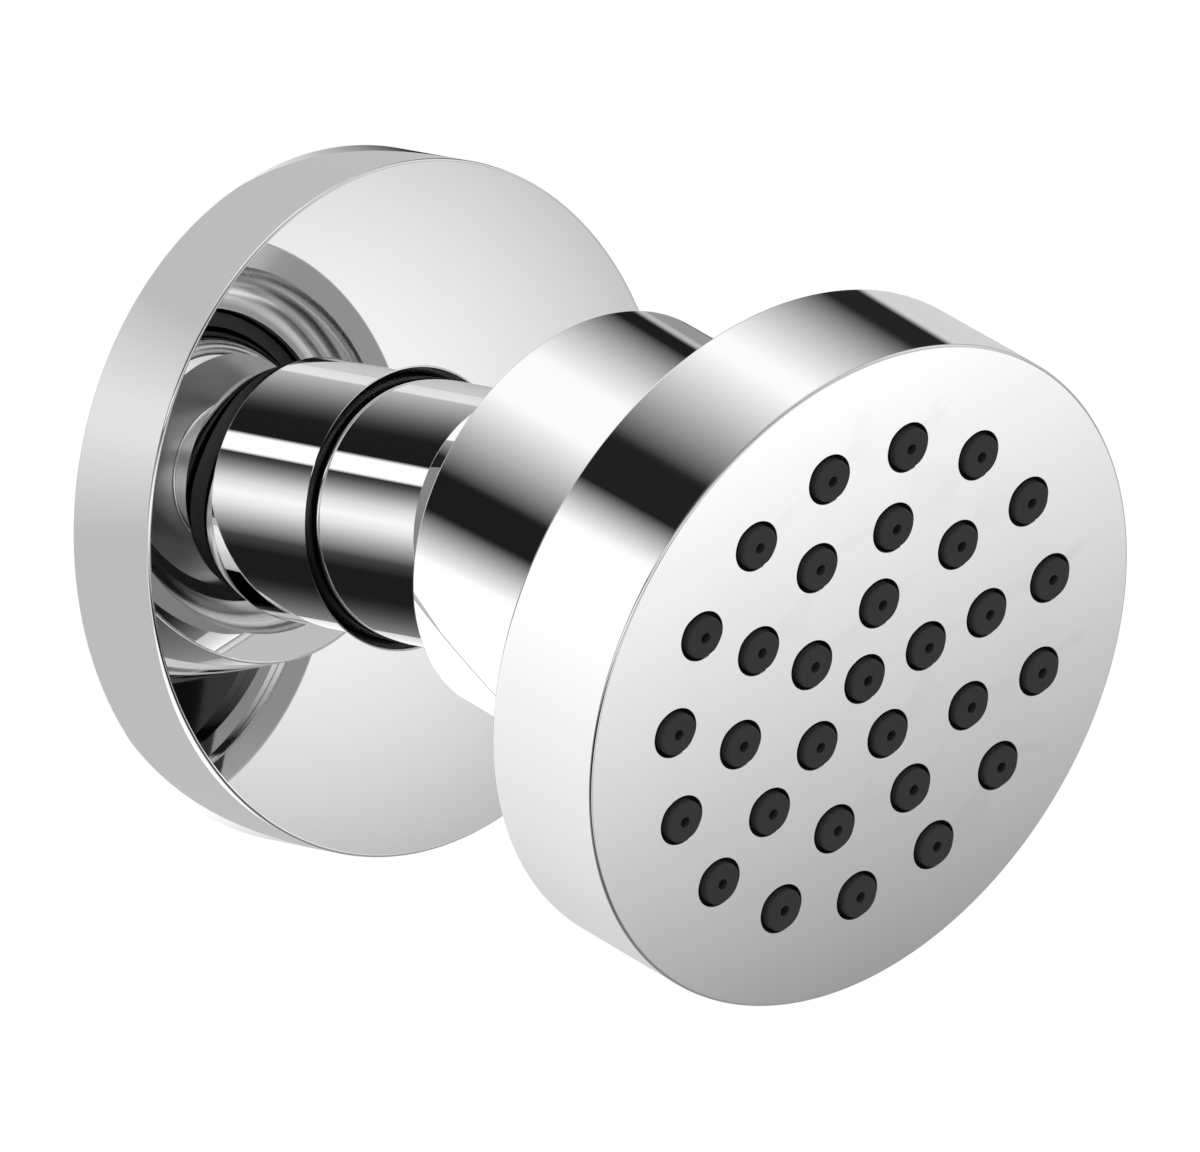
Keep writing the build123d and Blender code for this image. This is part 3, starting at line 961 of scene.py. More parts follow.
@dataclass
class WallCover:
    """Round cover on the wall, with its gasket."""

    diameter: float = 50.0
    depth: float = COVER_DEPTH
    wall: float = 1.8
    face: float = 1.4
    hole: float = 20.1
    edge: float = 0.2
    boss_wall: float = 2.6
    boss_rear: float = 3.6
    inner_round: float = 0.5
    gasket: float = 1.58
    gasket_width: float = 2.2
    gasket_inner_round: float = 0.25
    gasket_outer_round: float = 0.15
    rabbet: float = 0.8
    grip_groove: float = 11.02
    grip_half: float = 0.9
    grip_lip: float = 0.5

    def build(self) -> None:
        """Build the cover and the gasket."""
        self.build_cover()
        self.build_gasket()

    def build_cover(self) -> None:
        """Hollow polished cover with a sharp front edge."""
        rim, bore = self.diameter / 2, self.hole / 2
        inner, step = rim - self.wall, rim - self.wall + self.rabbet
        back = self.depth - self.face
        mid = self.depth - self.grip_lip - self.grip_half
        shape = Outline()
        shape.to(rim, 0.0, BROKEN).to(rim, self.depth, self.edge).to(bore, self.depth, self.edge)
        shape.groove(bore, self.grip_groove, mid, -self.grip_half)
        shape.to(bore, self.boss_rear, BROKEN).to(bore + self.boss_wall, self.boss_rear, EASED)
        shape.to(bore + self.boss_wall, back, self.inner_round).to(inner, back, self.inner_round)
        shape.to(inner, self.gasket + FIT).to(step, self.gasket + FIT).to(step, 0.0)
        seat(CHROME.dress(turned_piece("cover_plate", STEM, shape)), Body.BASE, Slot.CHROME, "escutcheon")

    def build_gasket(self) -> None:
        """Foam ring in the rear step of the cover."""
        out = self.diameter / 2 - self.wall + self.rabbet - FIT
        inner = out - self.gasket_width
        shape = Outline()
        shape.to(inner, 0.0, self.gasket_inner_round).to(out, 0.0, self.gasket_outer_round)
        shape.to(out, self.gasket, self.gasket_outer_round).to(inner, self.gasket, self.gasket_inner_round)
        seat(RUBBER.dress(turned_piece("cover_gasket", STEM, shape)), Body.BASE, Slot.RUBBER, "wall_gasket")


@dataclass
class BallStem:
    """Ball, neck and the shank that turns in the inlet stem."""

    ball: float = 20.2
    ball_flat: float = 17.24
    front_cut: float = 8.0
    neck: float = 10.24
    neck_rear: float = TAPER_END
    shank: float = 9.6
    shank_length: float = 9.2
    shank_round: float = 0.3
    seal: float = 0.9
    seal_inset: float = 1.6
    clip: float = 1.0
    clip_inset: float = 3.0
    clip_room: float = 0.6
    slack: float = 0.05
    bore: float = 5.6
    mouth: float = 8.4

    def shoulder(self) -> float:
        """Place of the ball's flat rear, forward of the wall."""
        return PIVOT_FORWARD - math.sqrt(self.ball**2 - self.ball_flat**2) / 2

    def shank_rear(self) -> float:
        """Place of the shank's end."""
        return self.neck_rear - self.shank_length

    def clip_groove(self, shape: Outline, surface: float, inward: bool) -> None:
        """Add the half groove of the wire clip to an outline.

        Args:
            shape: the outline to add to.
            surface: radius of the surface that is grooved.
            inward: True for the shank, whose outline runs forward; False for the bore.
        """
        sense = -1.0 if inward else 1.0
        bottom = (self.shank + self.slack) / 2 + sense * (self.clip / 2 + self.slack)
        shape.groove(surface, bottom, self.neck_rear - self.clip_inset, -sense * self.clip_room)

    def build(self) -> None:
        """Build the ball stem as one turned piece."""
        ball, flat, shank = self.ball / 2, self.ball_flat / 2, self.shank / 2
        front = PIVOT_FORWARD + self.front_cut
        front_r = math.sqrt(ball**2 - self.front_cut**2)
        half = self.seal / 2 + 2 * self.slack
        shape = Outline()
        shape.to(self.bore / 2, self.shank_rear()).to(shank, self.shank_rear(), self.shank_round)
        shape.groove(shank, shank - self.seal, self.shank_rear() + self.seal_inset, half)
        self.clip_groove(shape, shank, True)
        shape.to(shank, self.neck_rear).to(self.neck / 2, self.neck_rear + FIT, BROKEN)
        shape.to(self.neck / 2, self.shoulder(), EASED).to(flat, self.shoulder())
        shape.arc(front_r, front, (0.0, PIVOT_FORWARD))
        shape.to(self.mouth / 2, front).to(self.bore / 2, front - (self.mouth - self.bore) / 2)
        piece = CHROME.dress(turned_piece("ball_and_neck", STEM, shape))
        SATIN.dress_faces(piece, faces_at(piece, STEM, self.shoulder()))
        seat(piece, Body.SWIVEL, Slot.CHROME, "ball_stem")


@dataclass
class InletStem:
    """Stem through the cover: hub with an inner pipe thread, collar and taper."""

    collar: float = 19.0
    collar_end: float = COLLAR_END
    taper_tip: float = 16.2
    taper_round: float = 0.12
    hub: float = 27.0
    hub_rear: float = 12.0
    hub_front: float = 3.0
    hub_chamfer: float = 0.5
    hub_round: float = 0.4
    flats: float = 24.6
    flats_end: float = -3.0
    flats_step: float = 0.001
    thread: float = 20.0
    thread_stop: float = 0.5
    thread_pitch: float = 1.814
    thread_depth: float = 0.55
    thread_fade: float = 0.9
    rows_a_pitch: int = 14
    mouth: float = 0.8
    washer_seat: float = 1.9
    washer_bore: float = 18.0
    filter_bore: float = 13.2
    filter_end: float = 8.0
    passage: float = 8.0
    ball_stem: BallStem = field(default_factory=BallStem)

    def build(self) -> None:
        """Build the stem with its thread."""
        hub, flat, bore = self.hub / 2, self.flats / 2, self.thread / 2
        tip, neck = self.taper_tip / 2, self.ball_stem.shank / 2 + self.ball_stem.slack
        shank_seat = self.ball_stem.shank_rear() - self.ball_stem.slack
        draft = MeshDraft()
        shape = Outline()
        shape.to(hub - self.hub_chamfer, -self.hub_rear, flats=flat)
        shape.to(hub, self.hub_chamfer - self.hub_rear, flats=flat)
        shape.to(hub, self.flats_end, flats=flat).to(hub, self.flats_end + self.flats_step)
        shape.to(hub, self.hub_front, self.hub_round).to(self.collar / 2, self.hub_front, EASED)
        shape.to(self.collar / 2, self.collar_end, self.taper_round).to(tip, TAPER_END, self.taper_round)
        shape.to(neck, TAPER_END, BROKEN)
        self.ball_stem.clip_groove(shape, neck, False)
        shape.to(neck, shank_seat).to(self.passage / 2, shank_seat)
        shape.to(self.passage / 2, self.filter_end).to(self.filter_bore / 2, self.filter_end)
        shape.to(self.filter_bore / 2, self.washer_seat).to(self.washer_bore / 2, self.washer_seat)
        shape.to(self.washer_bore / 2, self.thread_stop).to(bore, self.thread_stop)
        runs = shape.to(bore, self.mouth - self.hub_rear).to(bore + self.mouth, -self.hub_rear).runs()
        for stations, flats in runs:
            if stations[0].radius == bore and stations[-1].radius == bore:
                draft.grid(self.thread_rows())
            else:
                draft.grid([ring_of(STEM, s, FINE_TURN, flats) for s in stations])
        seat(CHROME.dress(draft.build("inlet_stem_body")), Body.BASE, Slot.CHROME, "inlet_stem")

    def thread_rows(self) -> list[list[tuple[Vector, Vector]]]:
        """Rows of the inner thread, plain at both ends.

        Returns:
            Rows of (place, facing) points from the inner end to the mouth.
        """
        first, last = self.thread_stop, self.mouth - self.hub_rear
        count = round(self.rows_a_pitch * (first - last) / self.thread_pitch)
        rows = []
        for i in range(count + 1):
            forward = first + (last - first) * i / count
            ends = min(1.0, (first - forward) / self.thread_fade, (forward - last) / self.thread_fade)
            row = []
            for j in range(FINE_TURN):
                turn = math.tau * j / FINE_TURN
                phase = math.tau * forward / self.thread_pitch + turn
                radius = self.thread / 2 + ends * self.thread_depth * math.sin(phase)
                slope = ends * self.thread_depth * math.cos(phase) * math.tau / self.thread_pitch
                facing = STEM.around(turn) * -1.0 + STEM.forward * slope
                row.append((STEM.point(radius, forward, turn), facing.normalized()))
            rows.append(row)
        return rows


@dataclass
class Drum:
    """Swivel nut round the ball, with a hollowed rear."""

    diameter: float = 30.8
    rear: float = -7.63
    front: float = 14.04
    rim: float = 2.15
    edge: float = 0.2
    bowl: float = 2.5
    lip: float = 21.1
    lip_round: float = 0.06
    seat: float = 23.1
    seat_front: float = 1.95
    bore: float = 24.8

    def build(self) -> None:
        """Build the drum as one turned piece."""
        out, inner = self.diameter / 2, self.diameter / 2 - self.rim
        lip, ball_seat = self.lip / 2, self.seat / 2
        floor = self.rear + self.bowl
        shape = Outline()
        shape.to(out, self.rear, self.edge).to(out, self.front, BROKEN).to(self.bore / 2, self.front)
        shape.to(self.bore / 2, self.seat_front).to(ball_seat, self.seat_front).to(ball_seat, 0.0)
        shape.arc(lip, -math.sqrt(ball_seat**2 - lip**2), (0.0, 0.0))
        shape.to(lip, floor, self.lip_round).to(inner - self.bowl, floor)
        shape.arc(inner, self.rear, (inner - self.bowl, self.rear))
        piece = CHROME.dress(turned_piece("swivel_drum", HEAD, shape))
        TURNED.dress_faces(piece, [f for f in piece.data.polygons if self.in_bowl(f.center)])
        seat(piece, Body.HEAD, Slot.CHROME, "swivel_nut")

    def in_bowl(self, place: Vector) -> bool:
        """Tell whether a face belongs to the hollow rear.

        Args:
            place: the face's middle.

        Returns:
            True inside the rim and no deeper than the hollow's floor.
        """
        forward = HEAD.reach(place)
        away = (place - HEAD.origin - HEAD.forward * forward * MM).length / MM
        deep = self.rear + IN_PLANE < forward < self.rear + self.bowl + IN_PLANE
        return deep and away < self.diameter / 2 - self.rim + IN_PLANE


@dataclass
class SprayHead:
    """Disc head: domed shell drilled for the nozzles, rear plate and rubber moulding."""

    diameter: float = 50.0
    rear: float = 12.12
    thickness: float = 10.45
    rise: float = 0.35
    rim: float = 1.95
    face: float = 1.5
    edge: float = 0.2
    ledge: float = 0.8
    plate_inset: float = 1.97
    plate: float = 2.2
    plate_slack: float = 0.1
    plate_round: float = 0.15
    plate_room: float = 0.05
    snap: float = 1.1
    snap_depth: float = 0.7
    snap_front_room: float = 0.03
    snap_rear_room: float = 0.07
    chamber_round: float = 0.3
    rear_round: float = 0.12
    drilled: float = 42.0
    ring_step: float = 5.74
    outer_inset: float = 7.49
    ring_counts: tuple[int, ...] = (5, 10, 15)
    nozzle: float = 3.14
    hole_gap: float = 0.28
    hole_edge: float = 0.05
    tip: float = 0.41
    tip_chamfer: float = 0.12
    tip_round: float = 0.05
    root: float = 0.1
    orifice: float = 0.8
    orifice_round: float = 0.03
    orifice_taper: float = 0.8
    orifice_floor: float = 0.4
    mat: float = 1.2
    mat_margin: float = 0.1
    boss: float = 24.7
    boss_rear: float = 10.44
    boss_bore: float = 13.0
    boss_mouth: float = 3.0
    boss_mouth_depth: float = 1.6
    boss_seal_inset: float = 1.25
    ring_seal: float = 1.2
    seal_room: float = 0.1
    post: float = 3.0
    post_bore: float = 1.5
    post_inset: float = 1.55
    post_root: float = 0.2
    post_count: int = 4

    def build(self) -> None:
        """Build shell, rear plate and nozzles."""
        self.build_shell()
        self.build_rear_plate()
        self.build_nozzles()

    def front(self) -> float:
        """Place of the face's edge, forward of the ball centre."""
        return self.rear + self.thickness

    def back(self) -> float:
        """Place of the face's flat inner side."""
        return self.front() - self.face

    def plate_rear(self) -> float:
        """Place of the rear plate's outer side."""
        return self.rear + self.plate_inset

    def mat_reach(self) -> float:
        """Radius of the moulding's base disc."""
        return self.diameter / 2 - self.outer_inset + self.nozzle / 2 + self.hole_gap + self.mat_margin

    def sphere(self) -> float:
        """Radius of the sphere that the face is part of."""
        reach = self.diameter / 2 - self.edge
        return (reach**2 + self.rise**2) / (2 * self.rise)

    def dome(self, radius: float) -> float:
        """Height of the domed face above its edge, at a distance from the axis."""
        return math.sqrt(self.sphere() ** 2 - radius**2) - self.sphere() + self.rise

    def lift(self, place: Vector) -> tuple[Vector, Vector]:
        """Raise a point of the flat face onto the dome.

        Args:
            place: the point on the flat face.

        Returns:
            The raised point and the dome's direction there.
        """
        offset = place - HEAD.origin
        away = (offset - HEAD.forward * offset.dot(HEAD.forward)) / MM
        raised = place + HEAD.forward * (self.dome(away.length) * MM)
        return raised, (away / self.sphere() + HEAD.forward).normalized()

    def nozzle_rings(self) -> list[tuple[float, list[Spindle]]]:
        """Lay out the nozzles.

        Returns:
            Radius of each ring of nozzles and the axes on it, from the middle outward.
        """
        rings = [(0.0, [HEAD])]
        radii = (self.ring_step, 2 * self.ring_step, self.diameter / 2 - self.outer_inset)
        for radius, count in zip(radii, self.ring_counts):
            rings.append((radius, [HEAD.shifted(radius, math.tau * i / count) for i in range(count)]))
        return rings

    def build_shell(self) -> None:
        """Polished shell: turned rim, domed face with its holes, posts for the spray plate."""
        out, inner = self.diameter / 2, self.diameter / 2 - self.rim
        chamber, groove, drilled = inner - self.ledge, inner + self.snap_depth, self.drilled / 2
        seat_front = self.plate_rear() + self.plate + self.plate_room
        groove_front = self.plate_rear() + self.snap_front_room
        groove_rear = self.plate_rear() - self.snap - self.snap_rear_room
        shape = Outline()
        shape.to(out, self.rear, self.edge).to(out, self.front(), self.edge).to(out - self.edge, self.front())
        shape.arc(drilled, self.front() + self.dome(drilled), (0.0, self.front() + self.rise - self.sphere()))
        shape.to(drilled, self.back()).to(chamber, self.back(), self.chamber_round).to(chamber, seat_front)
        shape.to(inner, seat_front).to(inner, groove_front).to(groove, groove_front)
        shape.to(groove, groove_rear).to(inner, groove_rear).to(inner, self.rear, self.rear_round)
        draft = MeshDraft()
        for stations, _ in shape.runs():
            if stations[0].radius > drilled or stations[-1].radius > drilled:
                draft.grid([ring_of(HEAD, s, FINE_TURN) for s in stations])
        hole = self.nozzle / 2 + self.hole_gap
        front_loops = [circle(HEAD, drilled, self.front(), FINE_TURN)]
        back_loops = [circle(HEAD, drilled, self.back(), FINE_TURN)]
        for _, axes in self.nozzle_rings():
            for axis in axes:
                self.add_hole(draft, axis, hole)
                front_loops.append(circle(axis, hole + self.hole_edge, self.front(), SMALL_TURN))
                back_loops.append(circle(axis, hole, self.back(), SMALL_TURN))
        draft.plate(front_loops, HEAD.forward, self.lift)
        draft.plate(back_loops, -HEAD.forward)
        self.add_posts(draft)
        seat(CHROME.dress(draft.build("head_disc")), Body.HEAD, Slot.CHROME, "head_shell")

    def add_hole(self, draft: MeshDraft, axis: Spindle, hole: float) -> None:
        """Add the broken edge and the wall of one nozzle hole.

        Args:
            draft: the shell's mesh.
            axis: the hole's axis.
            hole: the hole's radius.
        """
        top, slant = self.front(), math.sqrt(0.5)
        low = top - self.hole_edge
        edge = [Station(hole + self.hole_edge, top, (-slant, slant)), Station(hole, low, (-slant, slant))]
        wall = [Station(hole, low, (-1.0, 0.0)), Station(hole, self.back(), (-1.0, 0.0))]
        for stations in (edge, wall):
            rows = []
            for station in stations:
                row = ring_of(axis, station, SMALL_TURN)
                if station.forward > self.back():
                    row = [(self.lift(place)[0], facing) for place, facing in row]
                rows.append(row)
            draft.grid(rows)

    def add_posts(self, draft: MeshDraft) -> None:
        """Add the hollow posts behind the face that take the spray plate's screws.

        Args:
            draft: the shell's mesh.
        """
        low, high = self.back() - self.mat, self.back() + self.post_root
        post = Outline().to(self.post_bore / 2, low).to(self.post / 2, low, BROKEN)
        post.to(self.post / 2, high).to(self.post_bore / 2, high)
        for i in range(self.post_count):
            turn = math.tau * (i + 0.5) / self.post_count
            draft.turned(HEAD.shifted(self.mat_reach() + self.post_inset, turn), post, SMALL_TURN)

    def build_rear_plate(self) -> None:
        """Plate that closes the shell, with the boss that screws into the drum; its rear side, down in the
        recess inside the shell's rear rim, is painted nearly black as painted shade.
        """
        bore, boss = self.boss_bore / 2, self.boss / 2
        edge = self.diameter / 2 - self.rim - self.plate_slack
        rear, front = self.plate_rear(), self.plate_rear() + self.plate
        half = self.ring_seal / 2 + self.seal_room
        shape = Outline()
        shape.to(bore, self.boss_rear).to(boss, self.boss_rear, EASED)
        shape.groove(boss, boss - self.ring_seal, rear - self.boss_seal_inset, half)
        shape.to(boss, rear).to(edge, rear, self.plate_round)
        shape.groove(edge, edge - self.ring_seal, (rear + front) / 2, half)
        shape.to(edge, front, self.plate_round)
        shape.to(bore + self.boss_mouth, front).to(bore, front - self.boss_mouth_depth)
        piece = CHROME.dress(turned_piece("head_rear_plate", HEAD, shape))
        # The plate's rear side lies in the recess inside the shell's rear rim; it is painted nearly black as
        # painted shade.
        RECESS_SHADE_CHROME.dress_faces(piece, faces_at(piece, HEAD, rear))
        seat(piece, Body.HEAD, Slot.CHROME, "head_back")

    def build_nozzles(self) -> None:
        """Rubber moulding: base disc and one nozzle with a fine bore in each hole."""
        back, reach = self.back(), self.mat_reach()
        radius, orifice = self.nozzle / 2, self.orifice / 2
        draft = MeshDraft()
        base = Outline()
        base.to(0.0, back - self.mat).to(reach, back - self.mat, EASED)
        base.to(reach, back - FIT, EASED).to(0.0, back - FIT)
        draft.turned(HEAD, base, FINE_TURN // 2)
        for ring, axes in self.nozzle_rings():
            tip = self.front() + self.dome(ring) + self.tip
            nozzle = Outline()
            nozzle.to(0.0, back - self.root).to(radius, back - self.root)
            nozzle.to(radius, tip - self.tip_chamfer, self.tip_round)
            nozzle.to(radius - self.tip_chamfer, tip, self.tip_round).to(orifice, tip, self.orifice_round)
            nozzle.to(orifice * self.orifice_taper, back + self.orifice_floor)
            nozzle.to(0.0, back + self.orifice_floor)
            for axis in axes:
                draft.turned(axis, nozzle, SMALL_TURN)
        seat(SILICONE.dress(draft.build("nozzle_moulding")), Body.HEAD, Slot.SILICONE, "nozzle_mat")


@dataclass
class InnerWorks:
    """Solids that stay as packed, with better finishes."""

    finishes: dict[str, Finish] = field(
        default_factory=lambda: {
            "escutcheon_grip_ring": GRIP_RUBBER,
            "inlet_washer": RUBBER,
            "filter_screen": STEEL,
            "flow_regulator": WHITE_PLASTIC,
            "flow_regulator_o_ring": RUBBER,
            "ball_stem_o_ring": RUBBER,
            "ball_stem_clip": STEEL,
            "rear_ball_seat": BLACK_PLASTIC,
            "front_ball_seat": WHITE_PLASTIC,
            "ball_seal": RUBBER,
            "preload_spring": STEEL,
            "swivel_nut_o_ring": RUBBER,
            "head_retaining_ring": BRIGHT_STEEL,
            "head_o_ring": RUBBER,
            "spray_plate": WHITE_PLASTIC,
            "spray_plate_screws": STEEL,
        }
    )

    def dress(self) -> None:
        """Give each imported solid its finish."""
        for node, finish in self.finishes.items():
            finish.dress(frame["nodes"][node])
            LOG.info("%s keeps its solid, in %s", node, finish.name)


# Studio


@dataclass(frozen=True)
class Band:
    """A stretch of a card, fading in and out, in degrees."""

    fade_in: float
    start: float
    end: float
    fade_out: float
    level: float


def level_stops(base: list[tuple[float, float]], bands: list[Band]) -> list[tuple[float, float]]:
    """Lay bands over a base ramp.

    Args:
        base: (position, level) points of the ramp under the bands, in order.
        bands: the bands, in order and apart from each other.

    Returns:
        The (position, level) points of the whole ramp.
    """

    def under(position: float) -> float:
        """Read the base ramp.

        Args:
            position: where to read it.

        Returns:
            Its level there.
        """
        for (p0, l0), (p1, l1) in zip(base, base[1:]):
            if p0 <= position <= p1:
                return l0 + (l1 - l0) * (position - p0) / (p1 - p0)
        return base[-1][1]

    stops = [s for s in base if not any(b.fade_in <= s[0] <= b.fade_out for b in bands)]
    for band in bands:
        stops += [(band.fade_in, under(band.fade_in)), (band.start, band.level)]
        stops += [(band.end, band.level), (band.fade_out, under(band.fade_out))]
    return sorted(stops)


def fill_ramp(node: bpy.types.Node, stops: list[tuple[float, float]], low: float, high: float) -> None:
    """Write grey levels into a colour ramp.

    Args:
        node: the colour ramp node.
        stops: (position, level) points.
        low: position that maps to 0.
        high: position that maps to 1.
    """
    ramp = node.color_ramp
    while len(ramp.elements) < len(stops):
        ramp.elements.new(1.0)
    for element, (position, level) in zip(ramp.elements, stops):
        element.position = (position - low) / (high - low)
        element.color = (level, level, level, 1.0)


def light_only(card: bpy.types.Object, piece: str) -> None:
    """Let a card light one piece alone.

    Args:
        card: the card.
        piece: name of the piece.
    """
    lit = bpy.data.collections.new(card.name + "_lights")
    lit.objects.link(bpy.data.objects[piece])
    card.light_linking.receiver_collection = lit


def hide_from_all_but_gloss(card: bpy.types.Object) -> None:
    """Leave a card visible in reflections alone.

    Args:
        card: the card.
    """
    card.visible_camera = False
    card.visible_diffuse = False
    card.visible_shadow = False
    card.visible_transmission = False
    card.visible_volume_scatter = False


def light_material(name: str, clear: bool = False) -> tuple[bpy.types.Material, bpy.types.Node]:
    """Plain emitting material.

    Args:
        name: name of the material.
        clear: whether rays also go on through it.

    Returns:
        The material and its emission node.
    """
    made = bpy.data.materials.new(name)
    made.use_nodes = True
    tree = made.node_tree
    tree.nodes.clear()
    glow = tree.nodes.new("ShaderNodeEmission")
    out = tree.nodes.new("ShaderNodeOutputMaterial")
    surface = glow.outputs["Emission"]
    if clear:
        window = tree.nodes.new("ShaderNodeBsdfTransparent")
        both = tree.nodes.new("ShaderNodeAddShader")
        tree.links.new(surface, both.inputs[0])
        tree.links.new(window.outputs["BSDF"], both.inputs[1])
        surface = both.outputs["Shader"]
    tree.links.new(surface, out.inputs["Surface"])
    return made, glow


def stage_sheet(name: str, sheet: bmesh.types.BMesh, paint: bpy.types.Material) -> bpy.types.Object:
    """Turn a drawn sheet into an object, and free the drawing.

    Args:
        name: name of the object.
        sheet: the drawing.
        paint: its material.

    Returns:
        The new object, linked to the scene.
    """
    mesh = bpy.data.meshes.new(name)
    sheet.to_mesh(mesh)
    sheet.free()
    mesh.materials.append(paint)
    made = bpy.data.objects.new(name, mesh)
    bpy.context.scene.collection.objects.link(made)
    return made


def facing_turn(way: Vector) -> Matrix:
    """Turn of a card that lies square to a ray, its X level and its Z back along the ray."""
    across = Vector((0, 0, 1)).cross(way).normalized()
    return Matrix((across, way.cross(across), -way)).transposed().to_4x4()


@dataclass
class WallCard:
    """Round card behind the part whose brightness changes round its middle."""

    name: str
    centre: tuple[float, float]
    inner: float
    outer: float
    behind: float
    base: list[tuple[float, float]]
    bands: list[Band]
    seam: float = 115.0

    def build(self) -> None:
        """Build the card; angles run from the seam, against the clock, in degrees from up."""
        ring = bmesh.new()
        rows = []
        for radius in (self.inner, self.outer):
            mid = Vector((0.0, 0.0)) if radius == self.inner else Vector(self.centre)
            row = []
            for j in range(CARD_TURN):
                turn = math.tau * j / CARD_TURN
                x, z = mid.x + radius * math.sin(turn), mid.y + radius * math.cos(turn)
                row.append(ring.verts.new((x * MM, self.behind * MM, z * MM)))
            rows.append(row)
        for j in range(CARD_TURN):
            k = (j + 1) % CARD_TURN
            ring.faces.new((rows[0][j], rows[0][k], rows[1][k], rows[1][j]))
        hide_from_all_but_gloss(stage_sheet(self.name, ring, self.material()))

    def material(self) -> bpy.types.Material:
        """Glow that follows the angle round the origin.

        Returns:
            The material.
        """
        paint, glow = light_material(self.name + "_glow")
        tree = paint.node_tree
        where = add_node(tree, "ShaderNodeTexCoord")
        from_seam = {"Angle": math.radians(-90.0 - self.seam)}
        turned = add_node(tree, "ShaderNodeVectorRotate", from_seam, rotation_type="Y_AXIS")
        parts = add_node(tree, "ShaderNodeSeparateXYZ")
        angle = add_node(tree, "ShaderNodeMath", operation="ARCTAN2")
        turns = add_node(tree, "ShaderNodeMapRange", {"From Min": -math.pi, "From Max": math.pi})
        ramp = add_node(tree, "ShaderNodeValToRGB")
        fill_ramp(ramp, level_stops(self.base, self.bands), 0.0, 360.0)
        tree.links.new(where.outputs["Object"], turned.inputs["Vector"])
        tree.links.new(turned.outputs["Vector"], parts.inputs["Vector"])
        tree.links.new(parts.outputs["Z"], angle.inputs[0])
        tree.links.new(parts.outputs["X"], angle.inputs[1])
        tree.links.new(angle.outputs["Value"], turns.inputs["Value"])
        tree.links.new(turns.outputs["Result"], ramp.inputs["Fac"])
        tree.links.new(ramp.outputs["Color"], glow.inputs["Color"])
        return paint


@dataclass
class SlopeCard:
    """Square card whose brightness slopes across it and falls off from its middle.

    It faces the place that sees it, and may light one piece alone.
    """

    name: str
    sees: tuple[float, float, float]
    way: tuple[float, float, float]
    distance: float
    half: float
    slope_angle: float
    bright: float
    dark: float
    falloff: float = 0.0
    lights: Optional[str] = None

    def build(self) -> None:
        """Build the card square to the ray that it serves."""
        way = Vector(self.way).normalized()
        mid = (Vector(self.sees) + way * self.distance) * MM
        sheet = bmesh.new()
        dots = []
        for i, j in ((-1, -1), (1, -1), (1, 1), (-1, 1)):
            dots.append(sheet.verts.new((i * self.half * MM, j * self.half * MM, 0.0)))
        sheet.faces.new(dots)
        card = stage_sheet(self.name, sheet, self.material())
        card.matrix_world = Matrix.Translation(mid) @ facing_turn(way)
        hide_from_all_but_gloss(card)
        if self.lights is not None:
            light_only(card, self.lights)

    def material(self) -> bpy.types.Material:
        """Glow that slopes along one direction and dims with the distance squared.

        Returns:
            The material.
        """
        paint, glow = light_material(self.name + "_glow", clear=self.lights is not None)
        tree = paint.node_tree
        angle = math.radians(self.slope_angle)
        uphill = {1: (math.cos(angle), math.sin(angle), 0.0)}
        levels = {
            "From Min": -self.half * MM,
            "From Max": self.half * MM,
            "To Min": self.dark,
            "To Max": self.bright,
        }
        where = add_node(tree, "ShaderNodeTexCoord")
        along = add_node(tree, "ShaderNodeVectorMath", uphill, operation="DOT_PRODUCT")
        level = add_node(tree, "ShaderNodeMapRange", levels)
        reach = add_node(tree, "ShaderNodeVectorMath", operation="DOT_PRODUCT")
        dimmed = add_node(tree, "ShaderNodeMath", {1: -self.falloff / MM**2}, operation="MULTIPLY_ADD")
        tree.links.new(where.outputs["Object"], along.inputs[0])
        tree.links.new(along.outputs["Value"], level.inputs["Value"])
        tree.links.new(where.outputs["Object"], reach.inputs[0])
        tree.links.new(where.outputs["Object"], reach.inputs[1])
        tree.links.new(reach.outputs["Value"], dimmed.inputs[0])
        tree.links.new(level.outputs["Result"], dimmed.inputs[2])
        tree.links.new(dimmed.outputs["Value"], glow.inputs["Strength"])
        return paint


@dataclass
class BowCard:
    """White curved strip that lights one piece, given by (across, low edge, high edge) points along it."""

    name: str
    way: tuple[float, float, float]
    distance: float
    edges: list[tuple[float, float, float]]
    level: float
    lights: str

    def build(self) -> None:
        """Build the strip square to its ray from the origin."""
        way = Vector(self.way).normalized()
        sheet = bmesh.new()
        low = [sheet.verts.new((x * MM, under * MM, 0.0)) for x, under, _ in self.edges]
        high = [sheet.verts.new((x * MM, over * MM, 0.0)) for x, _, over in self.edges]
        for j in range(len(self.edges) - 1):
            sheet.faces.new((low[j], low[j + 1], high[j + 1], high[j]))
        paint, glow = light_material(self.name + "_glow", clear=True)
        glow.inputs["Strength"].default_value = self.level
        card = stage_sheet(self.name, sheet, paint)
        card.matrix_world = Matrix.Translation(way * self.distance * MM) @ facing_turn(way)
        hide_from_all_but_gloss(card)
        light_only(card, self.lights)


# Middle of the head's face, where its card is seen
FACE_MIDDLE = (0.0, -54.97, -5.96)

